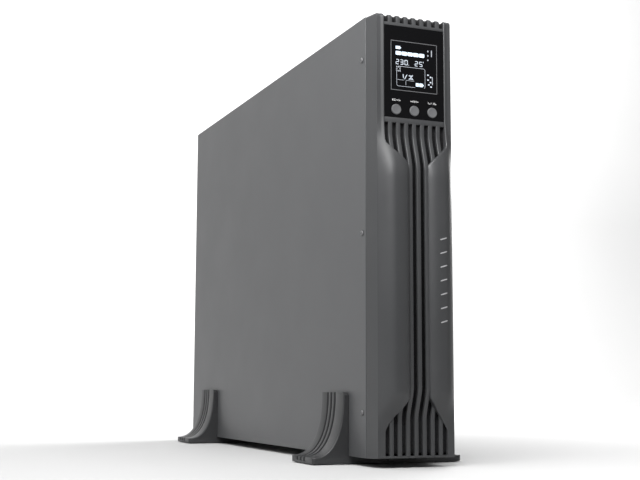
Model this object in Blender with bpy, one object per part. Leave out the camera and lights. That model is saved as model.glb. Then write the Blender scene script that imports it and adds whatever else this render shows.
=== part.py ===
"""Two-unit uninterruptible power supply standing as a tower on its four feet.

+Z is up, -Y is the front and the origin is on the floor under the middle of the whole object.
Everything is in metres. Depths are given from the seam between bezel and case, heights from the
underside of the case.
"""

import math

import bmesh
import bpy
from mathutils import Matrix, Vector

MM = 0.001

# Driving dimensions
CASE_WIDTH = 88 * MM  # two rack units
CASE_HEIGHT = 438 * MM  # body width of a 19 inch unit, upright here
CASE_DEPTH = 596 * MM  # seam to rear panel
BEZEL_DEPTH = 21 * MM  # seam to the display's face
NOSE = 13 * MM  # display's face to the crown of the wings
REAR_PROUD = 5 * MM  # rear panel to the outside of the fan guards
STAND_LIFT = 8.5 * MM  # floor to the underside of the case
SHEET = 1.2 * MM
GAP = 0.3 * MM  # running and assembly gap

WHOLE_DEPTH = NOSE + BEZEL_DEPTH + CASE_DEPTH + REAR_PROUD
SEAM_Y = -WHOLE_DEPTH / 2 + NOSE + BEZEL_DEPTH
HALF_WIDTH = CASE_WIDTH / 2

# Bezel
BEZEL_WALL = 3 * MM
BEZEL_HALF = 41.1 * MM  # half width at the front, the sides spread back to HALF_WIDTH
BEZEL_TOP = 437.6 * MM
BEZEL_BOTTOM = 0.7 * MM
TOP_RADIUS = 4.5 * MM
BOTTOM_RADIUS = 0.6 * MM
RIB_LIFT = 8.5 * MM  # how far the middle of the ribs stands ahead of the display
RIB_RISE = (39 * MM, 67 * MM)  # heights over which the ribs come forward
RIB_FALL = (281 * MM, 315 * MM)  # and go back again
CROWN_X = 26 * MM  # where a wing stands furthest forward
SHOULDER_FALL = 4.2 * MM  # crown back to the wing's inner edge
SHOULDER_POWER = 3.4
BULGE_RISE = (30 * MM, 65 * MM)
BULGE_FALL = (288 * MM, 330 * MM)
CHANNEL_HALF = 10.4 * MM
FAN_HALF = 33.3 * MM
FAN_CLOSE = (26 * MM, 59 * MM)  # heights over which the ribbed field narrows to the channel
FAN_OPEN = (284 * MM, 307 * MM)  # and widens again
FAN_EDGE = 1 * MM  # width of the step from the ribbed field up to a wing
LIP_LIFT = 1 * MM  # raised edge beside the display
LIP_RISE = (300 * MM, 330 * MM)
LIP_END = 37.7 * MM
PEG_X = 36.5 * MM
PEG_HEIGHTS = (8.5 * MM, 424 * MM)
PEG_RADIUS = 2 * MM
PEG_END = 6 * MM  # behind the seam
SLOT_COUNT = 8
SLOT_PITCH = 8.83 * MM
SLOT_WIDTH = 4.5 * MM
SLOT_TOP = 327 * MM
SLOT_BOTTOM = 2.8 * MM
OUTER_SLOT_TOPS = (SLOT_BOTTOM, 62 * MM)
OUTER_SLOT_BOTTOMS = (282 * MM, SLOT_TOP)
SLOT_BACK = 4.5 * MM  # slots are cut this far behind the display's face
NOTCH_BOTTOM = 429 * MM
NOTCH_DEPTH = 8 * MM

# Display
WINDOW_HALF = 33.2 * MM
WINDOW_LOW = 332.6 * MM
WINDOW_HIGH = 425.7 * MM
WINDOW_THICK = 2 * MM
LCD_HALF = 28 * MM
LCD_LOW = 357.5 * MM
LCD_HIGH = 413.5 * MM
WINDOW_OPENING = 30.5 * MM  # half width of the hole behind the window
BOARD_DEPTH = -13 * MM
BOARD_THICK = 1.6 * MM
BUTTON_RADIUS = 5.2 * MM
BUTTON_RIM = 0.7 * MM
BUTTON_HEIGHT = 340.5 * MM
BUTTON_SPACING = 20 * MM
BUTTON_PROUD = 0.8 * MM
BUTTON_LENGTH = 7.5 * MM
BUTTONS = {"select_button": -BUTTON_SPACING, "mute_button": 0.0, "power_button": BUTTON_SPACING}

# Air filter behind the ribs
FILTER_DEPTHS = (-17.6 * MM, -14.6 * MM)
FILTER_HEIGHTS = (5 * MM, 331 * MM)
FILTER_HALF = 37.5 * MM
FILTER_CORNER = (33.5 * MM, 12 * MM)  # cut away round the lower pegs

# Stand
FOOT_DEPTH = 58 * MM
FOOT_FRONTS = {"front": 40.5 * MM, "rear": 479 * MM}
FOOT_TOP = 71 * MM
FOOT_WALL = 5.7 * MM
FOOT_REACH = 39 * MM  # toe beyond the side of the case
TOE_HEIGHT = 7.2 * MM
FOOT_CURVE = 2.35  # exponent of the superellipse that the outer face follows
PAD_THICK = 1.3 * MM
PAD_PROUD = 0.8 * MM
GROOVE_WIDTH = 3.2 * MM
GROOVE_DEPTH = 1.8 * MM
GROOVE_PLACES = (22.5 * MM, 31.5 * MM, 40.5 * MM)  # behind the foot's front face
FOOT_STEPS = 12
PAD_X = (57 * MM, 78 * MM)
PAD_Y = (8 * MM, 50 * MM)

# Case
SCREW_DEPTH = 8 * MM
SCREW_HEIGHTS = {"lower": 43 * MM, "middle": 219 * MM, "upper": 395 * MM}
SCREW_SHANK = 1.5 * MM
CHASSIS_FOLD = 10 * MM  # left edge of the channel's two flanges
FRAME_DEPTH = 1 * MM  # front frame behind the seam
RIM_WIDTH = 13 * MM  # the front frame's folded left edge, which takes the cover screws
VENT_ROWS = 5
VENT_LOW = 362 * MM
VENT_PITCH = 12 * MM
VENT_TALL = 6 * MM
VENT_ENDS = (4 * MM, 30 * MM)
PANEL_FACE = CASE_DEPTH
PANEL_BACK = CASE_DEPTH - SHEET

# Battery drawer
BATTERY = Vector((65 * MM, 94 * MM, 151 * MM))
BATTERY_PITCH = 101 * MM
TRAY_LOW = 17 * MM
TRAY_HIGH = 322 * MM
TRAY_DEPTH = 306 * MM
TRAY_RIGHT = 36 * MM
TRAY_LEFT = -30 * MM
DOOR_OVERLAP = 4 * MM
DOOR_FRONT = -0.9 * MM
DOOR_THICK = 1.4 * MM
HANDLE_X = 3 * MM
HANDLE_REACH = 11 * MM
HANDLE_FEET = (120 * MM, 220 * MM)
HANDLE_RADIUS = 2.5 * MM
TERMINAL_LENGTH = 5 * MM
TERMINAL_INSET = 14 * MM
DC_SOCKET_LOW = 339 * MM
DC_SOCKET_HIGH = 351 * MM
LEAD_X = 4 * MM
LEAD_LOW = 310 * MM
LEAD_RADIUS = 2 * MM

# Fans
FAN_SIZE = 80 * MM
FAN_THICK = 25 * MM
FAN_BORE = 38 * MM
FAN_HEIGHTS = {"upper": 391 * MM, "lower": 308 * MM}
FAN_BLADES = 7
CORE_PROUD = 1.4 * MM  # outlet cores ahead of the rear panel's face
HUB_RADIUS = 16 * MM
GUARD_WIRE = 1.8 * MM
GUARD_REACH = 49 * MM
GUARD_RINGS = (12 * MM, 21 * MM, 30 * MM, 38.5 * MM)

# Power electronics
BOARD_FACE = 37 * MM  # component side of the upright power board
SINK_LOWS = {"upper": 290 * MM, "lower": 120 * MM}
SINK_DEPTHS = (420 * MM, 465 * MM)
SINK_LEFT = -30 * MM
SINK_TALL = 110 * MM
SINK_BASE = 8 * MM
SINK_FINS = 7
SINK_FIN = 2 * MM
SINK_PITCH = 17 * MM

for old in list(bpy.data.objects):
    bpy.data.objects.remove(old, do_unlink=True)

parts = bpy.data.collections.new("uninterruptible_power_supply")
cutters = bpy.data.collections.new("cutters")
cutters.hide_render = True
for collection in (parts, cutters):
    bpy.context.scene.collection.children.link(collection)


def place(x, depth, height):
    """World point from x, the depth behind the seam and the height over the case's underside."""
    return Vector((x, SEAM_Y + depth, STAND_LIFT + height))


def material(name, color, roughness, metallic=0.0):
    made = bpy.data.materials.new(name)
    made.use_nodes = True
    shader = made.node_tree.nodes["Principled BSDF"]
    shader.inputs["Base Color"].default_value = (*color, 1.0)
    shader.inputs["Roughness"].default_value = roughness
    shader.inputs["Metallic"].default_value = metallic
    return made


COATED_STEEL = material("coated_steel", (0.13, 0.13, 0.135), 0.5)
BEZEL_PLASTIC = material("bezel_plastic", (0.12, 0.12, 0.125), 0.45)
BLACK_GLOSS = material("black_gloss", (0.01, 0.01, 0.011), 0.1)
SCREEN = material("screen", (0.02, 0.03, 0.04), 0.2)
BUTTON_GREY = material("button_grey", (0.3, 0.3, 0.3), 0.4)
STAND_PLASTIC = material("stand_plastic", (0.12, 0.12, 0.125), 0.55)
RUBBER = material("rubber", (0.02, 0.02, 0.02), 0.9)
FOAM = material("foam", (0.015, 0.015, 0.015), 0.95)
BLACK_PLASTIC = material("black_plastic", (0.02, 0.02, 0.02), 0.5)
BRIGHT_STEEL = material("bright_steel", (0.6, 0.6, 0.62), 0.3, 1.0)
ZINC_STEEL = material("zinc_steel", (0.5, 0.5, 0.5), 0.4, 1.0)
BATTERY_CASE = material("battery_case", (0.07, 0.07, 0.075), 0.5)
BOARD_GREEN = material("board_green", (0.02, 0.15, 0.06), 0.4)
ALUMINIUM = material("aluminium", (0.6, 0.6, 0.6), 0.4, 1.0)
COPPER = material("copper", (0.6, 0.25, 0.12), 0.35, 1.0)
RED_PLASTIC = material("red_plastic", (0.5, 0.03, 0.02), 0.45)
CAPACITOR_SLEEVE = material("capacitor_sleeve", (0.02, 0.03, 0.12), 0.35)


def add(name, mesh_builder, look, location=(0, 0, 0), helper=False):
    """Object from a bmesh; a helper goes in the cutters and isn't a part."""
    mesh = bpy.data.meshes.new(name)
    bmesh.ops.recalc_face_normals(mesh_builder, faces=mesh_builder.faces)
    mesh_builder.to_mesh(mesh)
    mesh_builder.free()
    if look:
        mesh.materials.append(look)
    made = bpy.data.objects.new(name, mesh)
    made.location = location
    (cutters if helper else parts).objects.link(made)
    if helper:
        made.hide_render = True
        made.display_type = "WIRE"
    return made


def boxes(corners):
    """A bmesh of separate boxes, each from its lowest and highest corner."""
    builder = bmesh.new()
    for low, high in corners:
        low, high = Vector(low), Vector(high)
        size = high - low
        frame = Matrix.Translation((low + high) / 2) @ Matrix.Diagonal((*size, 1))
        bmesh.ops.create_cube(builder, size=1.0, matrix=frame)
    return builder


def local(unit, corners):
    """Boxes given in world space, moved to a part's own axes."""
    return boxes([(low - unit.location, high - unit.location) for low, high in corners])


def box(name, low, high, look):
    """A box part whose origin is its centre."""
    middle = (Vector(low) + Vector(high)) / 2
    return add(name, boxes([(Vector(low) - middle, Vector(high) - middle)]), look, middle)


def cylinder(radius, low, high, sides=24, axis="Y", tip=None):
    """A bmesh cylinder, or cone with a tip radius, between two points along one axis."""
    low, high = Vector(low), Vector(high)
    turn = {
        "X": Matrix.Rotation(math.pi / 2, 4, "Y"),
        "Y": Matrix.Rotation(-math.pi / 2, 4, "X"),
        "Z": Matrix.Identity(4),
    }[axis]
    builder = bmesh.new()
    bmesh.ops.create_cone(
        builder,
        cap_ends=True,
        segments=sides,
        radius1=radius,
        radius2=radius if tip is None else tip,
        depth=(high - low).length,
        matrix=Matrix.Translation((low + high) / 2) @ turn,
    )
    return builder


def merged(builders):
    """One bmesh holding several, for a cutter of separate bodies."""
    whole = bmesh.new()
    for builder in builders:
        scratch = bpy.data.meshes.new("scratch")
        builder.to_mesh(scratch)
        builder.free()
        whole.from_mesh(scratch)
        bpy.data.meshes.remove(scratch)
    return whole


def extruded(outline, low, high, axis="Y"):
    """A bmesh prism: an outline of (across, up) points carried along Y or X from low to high."""
    builder = bmesh.new()
    corners = []
    for across, up in outline:
        corners.append(builder.verts.new((across, low, up) if axis == "Y" else (low, across, up)))
    face = builder.faces.new(corners)
    grown = bmesh.ops.extrude_face_region(builder, geom=[face])["geom"]
    moved = [item for item in grown if isinstance(item, bmesh.types.BMVert)]
    step = (0, high - low, 0) if axis == "Y" else (high - low, 0, 0)
    bmesh.ops.translate(builder, verts=moved, vec=step)
    return builder


def boolean(target, operation, builder):
    """Cut or join a helper made from a bmesh in the target's own axes."""
    name = f"{target.name}_{operation.lower()}_{len(target.modifiers)}"
    helper = add(name, builder, None, helper=True)
    helper.location = target.location
    modifier = target.modifiers.new(operation.title(), "BOOLEAN")
    modifier.operation = operation
    modifier.object = helper
    return target


def cut(target, builder):
    return boolean(target, "DIFFERENCE", builder)


def join(target, builder):
    return boolean(target, "UNION", builder)


def tube(name, points, radius, look, resolution=1):
    """A round bar along a polyline, made a mesh with welded caps."""
    curve = bpy.data.curves.new(name, "CURVE")
    curve.dimensions = "3D"
    curve.bevel_depth = radius
    curve.bevel_resolution = resolution
    curve.use_fill_caps = True
    spline = curve.splines.new("POLY")
    spline.points.add(len(points) - 1)
    for point, corner in zip(spline.points, points):
        point.co = (*corner, 1.0)
    guide = bpy.data.objects.new(name + "_guide", curve)
    bpy.context.scene.collection.objects.link(guide)
    bpy.context.view_layer.update()
    graph = bpy.context.evaluated_depsgraph_get()
    mesh = bpy.data.meshes.new_from_object(guide.evaluated_get(graph))
    bpy.data.objects.remove(guide, do_unlink=True)
    builder = bmesh.new()
    builder.from_mesh(mesh)
    bpy.data.meshes.remove(mesh)
    bmesh.ops.remove_doubles(builder, verts=builder.verts, dist=0.01 * MM)
    return add(name, builder, look)


def rounded_path(corners, radius, steps=4):
    """Points of a polyline whose inner corners are replaced by short curves."""
    path = [Vector(corners[0])]
    for before, corner, after in zip(corners, corners[1:], corners[2:]):
        before, corner, after = Vector(before), Vector(corner), Vector(after)
        start = corner + (before - corner).normalized() * radius
        end = corner + (after - corner).normalized() * radius
        for step in range(steps + 1):
            t = step / steps
            path.append(start * (1 - t) ** 2 + corner * 2 * t * (1 - t) + end * t**2)
    path.append(Vector(corners[-1]))
    return path


def smooth(t):
    t = min(max(t, 0.0), 1.0)
    return t * t * (3 - 2 * t)


# ---------------------------------------------------------------- bezel shape


def eased(value, ends):
    """Nought before the first end, one after the second, with soft corners between."""
    t = min(max((value - ends[0]) / (ends[1] - ends[0]), 0.0), 1.0)
    return (t + smooth(t)) / 2


def rib_lift(height):
    """How far the ribs stand ahead of the display at this height."""
    return RIB_LIFT * eased(height, RIB_RISE) * (1 - eased(height, RIB_FALL))


def fan_half(height):
    """Half width of the ribbed field, which opens like a funnel at both ends."""
    wide = max(eased(height, FAN_OPEN), 1 - eased(height, FAN_CLOSE))
    return CHANNEL_HALF + (FAN_HALF - CHANNEL_HALF) * wide


def span_share(value, ends):
    return smooth((value - ends[0]) / (ends[1] - ends[0]))


def wing_lift(across, height):
    """Pillow-shaped wing that flattens out at both ends, with a lip beside the display."""
    bulge = span_share(height, BULGE_RISE) * (1 - span_share(height, BULGE_FALL))
    if across > CROWN_X:
        pillow = NOSE * (1 - ((across - CROWN_X) / (BEZEL_HALF - CROWN_X)) ** 2)
    else:
        inward = (CROWN_X - across) / (CROWN_X - CHANNEL_HALF)
        pillow = NOSE - SHOULDER_FALL * inward**SHOULDER_POWER
    lip = LIP_LIFT * span_share(height, LIP_RISE) * (1 - span_share(across, (FAN_HALF, LIP_END)))
    return pillow * bulge + lip


def round_drop(over, radius):
    """How far a rounded edge has fallen back, this far over the start of its round."""
    over = min(max(over, 0.0), radius)
    return radius - math.sqrt(radius**2 - over**2)


def front_lift(across, height):
    """The bezel's front surface ahead of the display's face."""
    across = min(abs(across), BEZEL_HALF)
    share = min(max((across - fan_half(height)) / FAN_EDGE, 0.0), 1.0)
    lift = rib_lift(height) * (1 - share) + wing_lift(across, height) * share
    lift -= round_drop(height - (BEZEL_TOP - TOP_RADIUS), TOP_RADIUS)
    return lift - round_drop(BEZEL_BOTTOM + BOTTOM_RADIUS - height, BOTTOM_RADIUS)


def lining_lift(across, height):
    """The bezel's inside: the lowest front surface within a wall's reach, less the wall."""
    reach = (-BEZEL_WALL, 0.0, BEZEL_WALL)
    return min(front_lift(across + x, height + z) for x in reach for z in reach) - BEZEL_WALL


def bezel_columns(height):
    """Distances across one half: the ribbed field, the step and the wing."""
    inner = fan_half(height)
    outer = inner + FAN_EDGE
    columns = [0.0, inner - BEZEL_WALL / 2, inner, outer]
    columns += [outer + (BEZEL_HALF - outer) * part for part in (0.06, 0.13, 0.22, 0.5, 0.68, 0.85, 1.0)]
    return columns


def bezel_rows():
    """Heights of the cross sections, closer where the surface curves."""
    rows = [BEZEL_BOTTOM, BEZEL_BOTTOM + BOTTOM_RADIUS, 14 * MM]
    rows += [(22 + 4.5 * step) * MM for step in range(12)]
    rows += [110 * MM, 170 * MM, 230 * MM, 268 * MM]
    rows += [(278 + 4 * step) * MM for step in range(14)]
    rows += [380 * MM, BEZEL_TOP - TOP_RADIUS]
    rows += [BEZEL_TOP - TOP_RADIUS * (1 - math.sin(math.radians(turn))) for turn in (30, 60, 90)]
    return rows


def bezel_solid(inset, back):
    """Loft of the front surface or, with an inset, of the lining, and straight sides to the back."""
    builder = bmesh.new()
    span = BEZEL_TOP - BEZEL_BOTTOM
    narrow = (BEZEL_HALF - inset) / BEZEL_HALF
    low, high = BEZEL_BOTTOM + inset, BEZEL_TOP - inset
    surface = lining_lift if inset else front_lift
    grid = []
    for height in bezel_rows():
        half = bezel_columns(height)
        moved = low + (high - low) * (height - BEZEL_BOTTOM) / span
        line = []
        for across in [-a for a in reversed(half[1:])] + half:
            depth = -BEZEL_DEPTH - surface(across * narrow, moved)
            line.append(builder.verts.new(place(across * narrow, depth, moved)))
        grid.append(line)
    for lower, upper in zip(grid, grid[1:]):
        for i in range(len(lower) - 1):
            builder.faces.new((lower[i], lower[i + 1], upper[i + 1], upper[i]))
    border = [edge for edge in builder.edges if edge.is_boundary]
    grown = bmesh.ops.extrude_edge_only(builder, edges=border)["geom"]
    widen = (HALF_WIDTH - inset) / (BEZEL_HALF - inset)
    for corner in grown:
        if isinstance(corner, bmesh.types.BMVert):
            share = (corner.co.z - STAND_LIFT - low) / (high - low)
            height = inset + (CASE_HEIGHT - 2 * inset) * share
            corner.co = place(corner.co.x * widen, back, height)
    rim = [edge for edge in builder.edges if edge.is_boundary]
    bmesh.ops.contextual_create(builder, geom=rim)
    bmesh.ops.triangulate(builder, faces=[face for face in builder.faces if len(face.verts) > 4])
    return builder


def slot_outline(centre, low, high, steps):
    """Outline of one slot, cut short where the ribbed field ends."""
    side = 1 if centre > 0 else -1
    near, far = abs(centre) - SLOT_WIDTH / 2, abs(centre) + SLOT_WIDTH / 2
    inside, outside = [], []
    for step in range(steps + 1):
        height = low + (high - low) * step / steps
        edge = min(far, fan_half(height) - GAP)
        if edge - near > 0.05 * MM:
            inside.append((side * near, STAND_LIFT + height))
            outside.append((side * edge, STAND_LIFT + height))
    return inside[:1] + inside[-1:] + outside[::-1]


def slot_cutters():
    front, back = SEAM_Y - BEZEL_DEPTH - 20 * MM, SEAM_Y - BEZEL_DEPTH + SLOT_BACK
    made = []
    for index in range(SLOT_COUNT):
        centre = (index - (SLOT_COUNT - 1) / 2) * SLOT_PITCH
        if abs(centre) + SLOT_WIDTH / 2 < CHANNEL_HALF:
            spans = [(SLOT_BOTTOM, SLOT_TOP, 1)]
        else:
            spans = [(*OUTER_SLOT_TOPS, 14), (*OUTER_SLOT_BOTTOMS, 12)]
        made += [extruded(slot_outline(centre, *span), front, back) for span in spans]
        notch = (
            place(centre - SLOT_WIDTH / 2, -BEZEL_DEPTH - 5 * MM, NOTCH_BOTTOM),
            place(centre + SLOT_WIDTH / 2, -BEZEL_DEPTH + NOTCH_DEPTH, CASE_HEIGHT + 5 * MM),
        )
        made.append(boxes([notch]))
    return merged(made)


def peg_places():
    return [(side * PEG_X, height) for side in (-1, 1) for height in PEG_HEIGHTS]


def bezel():
    body = add("bezel", bezel_solid(0.0, 0.0), BEZEL_PLASTIC)
    cut(body, bezel_solid(BEZEL_WALL, 2 * MM))
    pegs = []
    for x, up in peg_places():
        root = place(x, -BEZEL_DEPTH + BEZEL_WALL / 2, up)
        pegs.append(cylinder(PEG_RADIUS, root, place(x, PEG_END, up), 12))
    join(body, merged(pegs))
    edge = WINDOW_HALF + GAP
    pocket = (
        place(-edge, -BEZEL_DEPTH - 5 * MM, WINDOW_LOW - GAP),
        place(edge, -BEZEL_DEPTH + WINDOW_THICK + GAP, WINDOW_HIGH + GAP),
    )
    cut(body, boxes([pocket]))
    opening = (
        place(-WINDOW_OPENING, -BEZEL_DEPTH, WINDOW_LOW + 1.2 * MM),
        place(WINDOW_OPENING, -BEZEL_DEPTH + 6 * MM, WINDOW_HIGH - 3 * MM),
    )
    cut(body, boxes([opening]))
    cut(body, slot_cutters())


# ---------------------------------------------------------------- display and buttons

def display():
    face = -BEZEL_DEPTH
    window = box(
        "display_window",
        place(-WINDOW_HALF, face, WINDOW_LOW),
        place(WINDOW_HALF, face + WINDOW_THICK, WINDOW_HIGH),
        BLACK_GLOSS,
    )
    holes = []
    for x in BUTTONS.values():
        middle = place(x, face + WINDOW_THICK / 2, BUTTON_HEIGHT) - window.location
        reach = Vector((0, 3 * MM, 0))
        holes.append(cylinder(BUTTON_RADIUS + GAP, middle - reach, middle + reach, 24))
    cut(window, merged(holes))
    glass_front = face + WINDOW_THICK + GAP
    box(
        "lcd_module",
        place(-LCD_HALF, glass_front, LCD_LOW),
        place(LCD_HALF, BOARD_DEPTH - GAP, LCD_HIGH),
        SCREEN,
    )
    box(
        "display_board",
        place(-WINDOW_OPENING + 0.5 * MM, BOARD_DEPTH, WINDOW_LOW + 1.9 * MM),
        place(WINDOW_OPENING - 0.5 * MM, BOARD_DEPTH + BOARD_THICK, WINDOW_HIGH - 3.1 * MM),
        BOARD_GREEN,
    )
    for name, x in BUTTONS.items():
        pivot = place(x, face - BUTTON_PROUD, BUTTON_HEIGHT)
        stem = cylinder(BUTTON_RADIUS, (0, 0, 0), (0, BUTTON_LENGTH, 0), 24)
        button = add(name, stem, BUTTON_GREY, pivot)
        start = BUTTON_PROUD + WINDOW_THICK + GAP
        rim = cylinder(BUTTON_RADIUS + BUTTON_RIM, (0, start, 0), (0, start + 1.2 * MM, 0), 24)
        join(button, rim)


def air_filter():
    (front, back), (low, high) = FILTER_DEPTHS, FILTER_HEIGHTS
    start, end = place(-FILTER_HALF, front, low), place(FILTER_HALF, back, high)
    sheet = box("air_filter", start, end, FOAM)
    corners = []
    for side in (-1, 1):
        near, far = sorted((side * FILTER_CORNER[0], side * (FILTER_HALF + MM)))
        corner = (place(near, front - MM, low - MM), place(far, back + MM, FILTER_CORNER[1]))
        corners.append((corner[0] - sheet.location, corner[1] - sheet.location))
    cut(sheet, boxes(corners))


# ---------------------------------------------------------------- case


def side_cover():
    """Left panel with the top and bottom flanges that wrap the chassis."""
    right = HALF_WIDTH - SHEET - GAP
    far = place(right, CASE_DEPTH, CASE_HEIGHT)
    cover = box("side_cover", place(-HALF_WIDTH, 0, 0), far, COATED_STEEL)
    inner = (
        place(-HALF_WIDTH + SHEET, -MM, SHEET) - cover.location,
        place(right + MM, CASE_DEPTH + MM, CASE_HEIGHT - SHEET) - cover.location,
    )
    cut(cover, boxes([inner]))
    holes = []
    for height in SCREW_HEIGHTS.values():
        start = place(-HALF_WIDTH - MM, SCREW_DEPTH, height) - cover.location
        holes.append(cylinder(SCREW_SHANK + 0.5 * MM, start, start + Vector((4 * MM, 0, 0)), 12, "X"))
    cut(cover, merged(holes))


def chassis():
    """Right panel and the channel folded from it, open towards the side cover."""
    inset = SHEET + GAP
    near, far = place(HALF_WIDTH - SHEET, 0, 0), place(HALF_WIDTH, CASE_DEPTH, CASE_HEIGHT)
    body = box("chassis", near, far, COATED_STEEL)
    flanges = []
    for low in (inset, CASE_HEIGHT - inset - SHEET):
        end = place(HALF_WIDTH - SHEET / 2, CASE_DEPTH - 2 * MM, low + SHEET)
        flanges.append((place(CHASSIS_FOLD, 0, low), end))
    join(body, boxes([(low - body.location, high - body.location) for low, high in flanges]))


def cover_screws():
    for name, height in SCREW_HEIGHTS.items():
        tip = place(-HALF_WIDTH + 5 * MM, SCREW_DEPTH, height)
        under_head = place(-HALF_WIDTH - GAP, SCREW_DEPTH, height)
        shank = cylinder(SCREW_SHANK, Vector(), tip - under_head, 12, "X")
        screw = add(f"cover_screw_{name}", shank, BRIGHT_STEEL, under_head)
        head = cylinder(1.9 * MM, (-1.3 * MM, 0, 0), (0.1 * MM, 0, 0), 16, "X", tip=2.9 * MM)
        join(screw, head)


def front_frame():
    """Plate behind the bezel with the battery opening, air vents and the bezel's peg holes."""
    half = HALF_WIDTH - SHEET - GAP
    low, high = 2 * SHEET + 2 * GAP, CASE_HEIGHT - 2 * SHEET - 2 * GAP
    far = place(half, FRAME_DEPTH + SHEET, high)
    frame = box("front_frame", place(-half, FRAME_DEPTH, low), far, COATED_STEEL)
    rim = (place(-half, FRAME_DEPTH, low), place(-half + SHEET, FRAME_DEPTH + RIM_WIDTH, high))
    join(frame, local(frame, [rim]))
    near, far, past = -MM, 5 * MM, 0.6 * MM
    through = [
        (
            place(TRAY_LEFT - 1.5 * MM, near, TRAY_LOW - past),
            place(TRAY_RIGHT + past, far, TRAY_HIGH + past),
        ),
        (
            place(-12.5 * MM, near, DC_SOCKET_LOW - GAP),
            place(12.5 * MM, far, DC_SOCKET_HIGH + GAP),
        ),
    ]
    for row in range(VENT_ROWS):
        low = VENT_LOW + row * VENT_PITCH
        for side in (-1, 1):
            start, end = sorted(side * across for across in VENT_ENDS)
            through.append((place(start, near, low), place(end, far, low + VENT_TALL)))
    cut(frame, local(frame, through))
    drilled = []
    for x, height in peg_places():
        start = place(x, near, height) - frame.location
        drilled.append(cylinder(PEG_RADIUS + GAP, start, start + Vector((0, 5 * MM, 0)), 12))
    for height in SCREW_HEIGHTS.values():
        start = place(-HALF_WIDTH, SCREW_DEPTH, height) - frame.location
        end = start + Vector((5 * MM, 0, 0))
        drilled.append(cylinder(SCREW_SHANK + GAP, start, end, 12, "X"))
    cut(frame, merged(drilled))


# ---------------------------------------------------------------- rear panel and its sockets

def rear_unit(name, look, x_span, height_span, proud, inside, margin=2 * MM):
    """A socket body: a flange outside the panel and a narrower body through it.

    Returns the object and the cut-out that the panel needs for it.
    """
    (left, right), (low, high) = x_span, height_span
    start = place(left, PANEL_FACE + GAP, low)
    unit = box(name, start, place(right, PANEL_FACE + proud, high), look)
    body = (
        place(left + margin, PANEL_FACE - inside, low + margin) - unit.location,
        place(right - margin, PANEL_FACE + proud / 2, high - margin) - unit.location,
    )
    join(unit, boxes([body]))
    gap = margin - GAP
    hole = (
        place(left + gap, PANEL_BACK - MM, low + gap),
        place(right - gap, PANEL_FACE + MM, high - gap),
    )
    return unit, hole


def recess(x, up, half_wide, half_tall, deep, end=5 * MM):
    """Corners of a box about a point of the rear panel, from inside the case to its end outside."""
    low = place(x - half_wide, PANEL_FACE - deep, up - half_tall)
    return low, place(x + half_wide, PANEL_FACE + end, up + half_tall)


def outlet_block(name, low):
    """Four ten-ampere outlets, each a core standing in a moat for the plug's shroud."""
    spans = (-34 * MM, 34 * MM), (low, low + 57 * MM)
    block, hole = rear_unit(name, BLACK_PLASTIC, *spans, 2 * MM, 24 * MM)
    cavities, cores = [], []
    for x in (-16 * MM, 16 * MM):
        for up in (low + 15.5 * MM, low + 41.5 * MM):
            cavities.append(recess(x, up, 12.5 * MM, 9.5 * MM, 12 * MM))
            cores.append(recess(x, up, 9.5 * MM, 6.5 * MM, 14 * MM, CORE_PROUD))
    cut(block, local(block, cavities))
    join(block, local(block, cores))
    return hole


def large_outlet(low):
    """Sixteen-ampere outlet."""
    spans = (-38 * MM, -3 * MM), (low, low + 33 * MM)
    unit, hole = rear_unit("large_outlet", BLACK_PLASTIC, *spans, 2 * MM, 26 * MM)
    middle, up = -20.5 * MM, low + 16.5 * MM
    cut(unit, local(unit, [recess(middle, up, 15 * MM, 12 * MM, 14 * MM)]))
    join(unit, local(unit, [recess(middle, up, 11 * MM, 8 * MM, 16 * MM, CORE_PROUD)]))
    return hole


def mains_inlet(low):
    """Sixteen-ampere inlet: a deep socket with three flat pins."""
    spans = (-38 * MM, 2 * MM), (low, low + 32 * MM)
    unit, hole = rear_unit("mains_inlet", BLACK_PLASTIC, *spans, 3 * MM, 28 * MM)
    middle, up = -18 * MM, low + 16 * MM
    cut(unit, local(unit, [recess(middle, up, 15 * MM, 11 * MM, 18 * MM)]))
    pins = []
    for x, lift in ((-6.5 * MM, -4 * MM), (6.5 * MM, -4 * MM), (0.0, 5 * MM)):
        pins.append(recess(middle + x, up + lift, MM, 3 * MM, 20 * MM, -3 * MM))
    join(unit, local(unit, pins))
    return hole


def battery_port(low):
    """Two-pole connector for an outside battery cabinet."""
    spans = (7 * MM, 38 * MM), (low, low + 30 * MM)
    unit, hole = rear_unit("battery_port", RED_PLASTIC, *spans, 3 * MM, 26 * MM)
    cavities, pins = [], []
    for x in (16 * MM, 29 * MM):
        cavities.append(recess(x, low + 15 * MM, 5 * MM, 8 * MM, 16 * MM))
        pins.append(recess(x, low + 18.5 * MM, 1.5 * MM, 2.5 * MM, 18 * MM, -2 * MM))
    cut(unit, local(unit, cavities))
    join(unit, local(unit, pins))
    return hole


def breaker(low):
    """Thermal breaker with a round collar and a press-to-reset button."""
    spans = (4 * MM, 35 * MM), (low + MM, low + 32 * MM)
    unit, hole = rear_unit("input_breaker", BLACK_PLASTIC, *spans, 1.5 * MM, 30 * MM, 3 * MM)
    middle = place(19.5 * MM, PANEL_FACE, low + 16.5 * MM)
    start = middle - unit.location
    join(unit, cylinder(7.5 * MM, start, start + Vector((0, 3.5 * MM, 0)), 24))
    cut(unit, cylinder(4.5 * MM, start - Vector((0, 12 * MM, 0)), start + Vector((0, 9 * MM, 0)), 24))
    pivot = middle + Vector((0, REAR_PROUD - 0.2 * MM, 0))
    cap = cylinder(4.1 * MM, (0, -12.5 * MM, 0), (0, 0, 0), 20)
    add("breaker_button", cap, BLACK_PLASTIC, pivot)
    return hole


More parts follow.
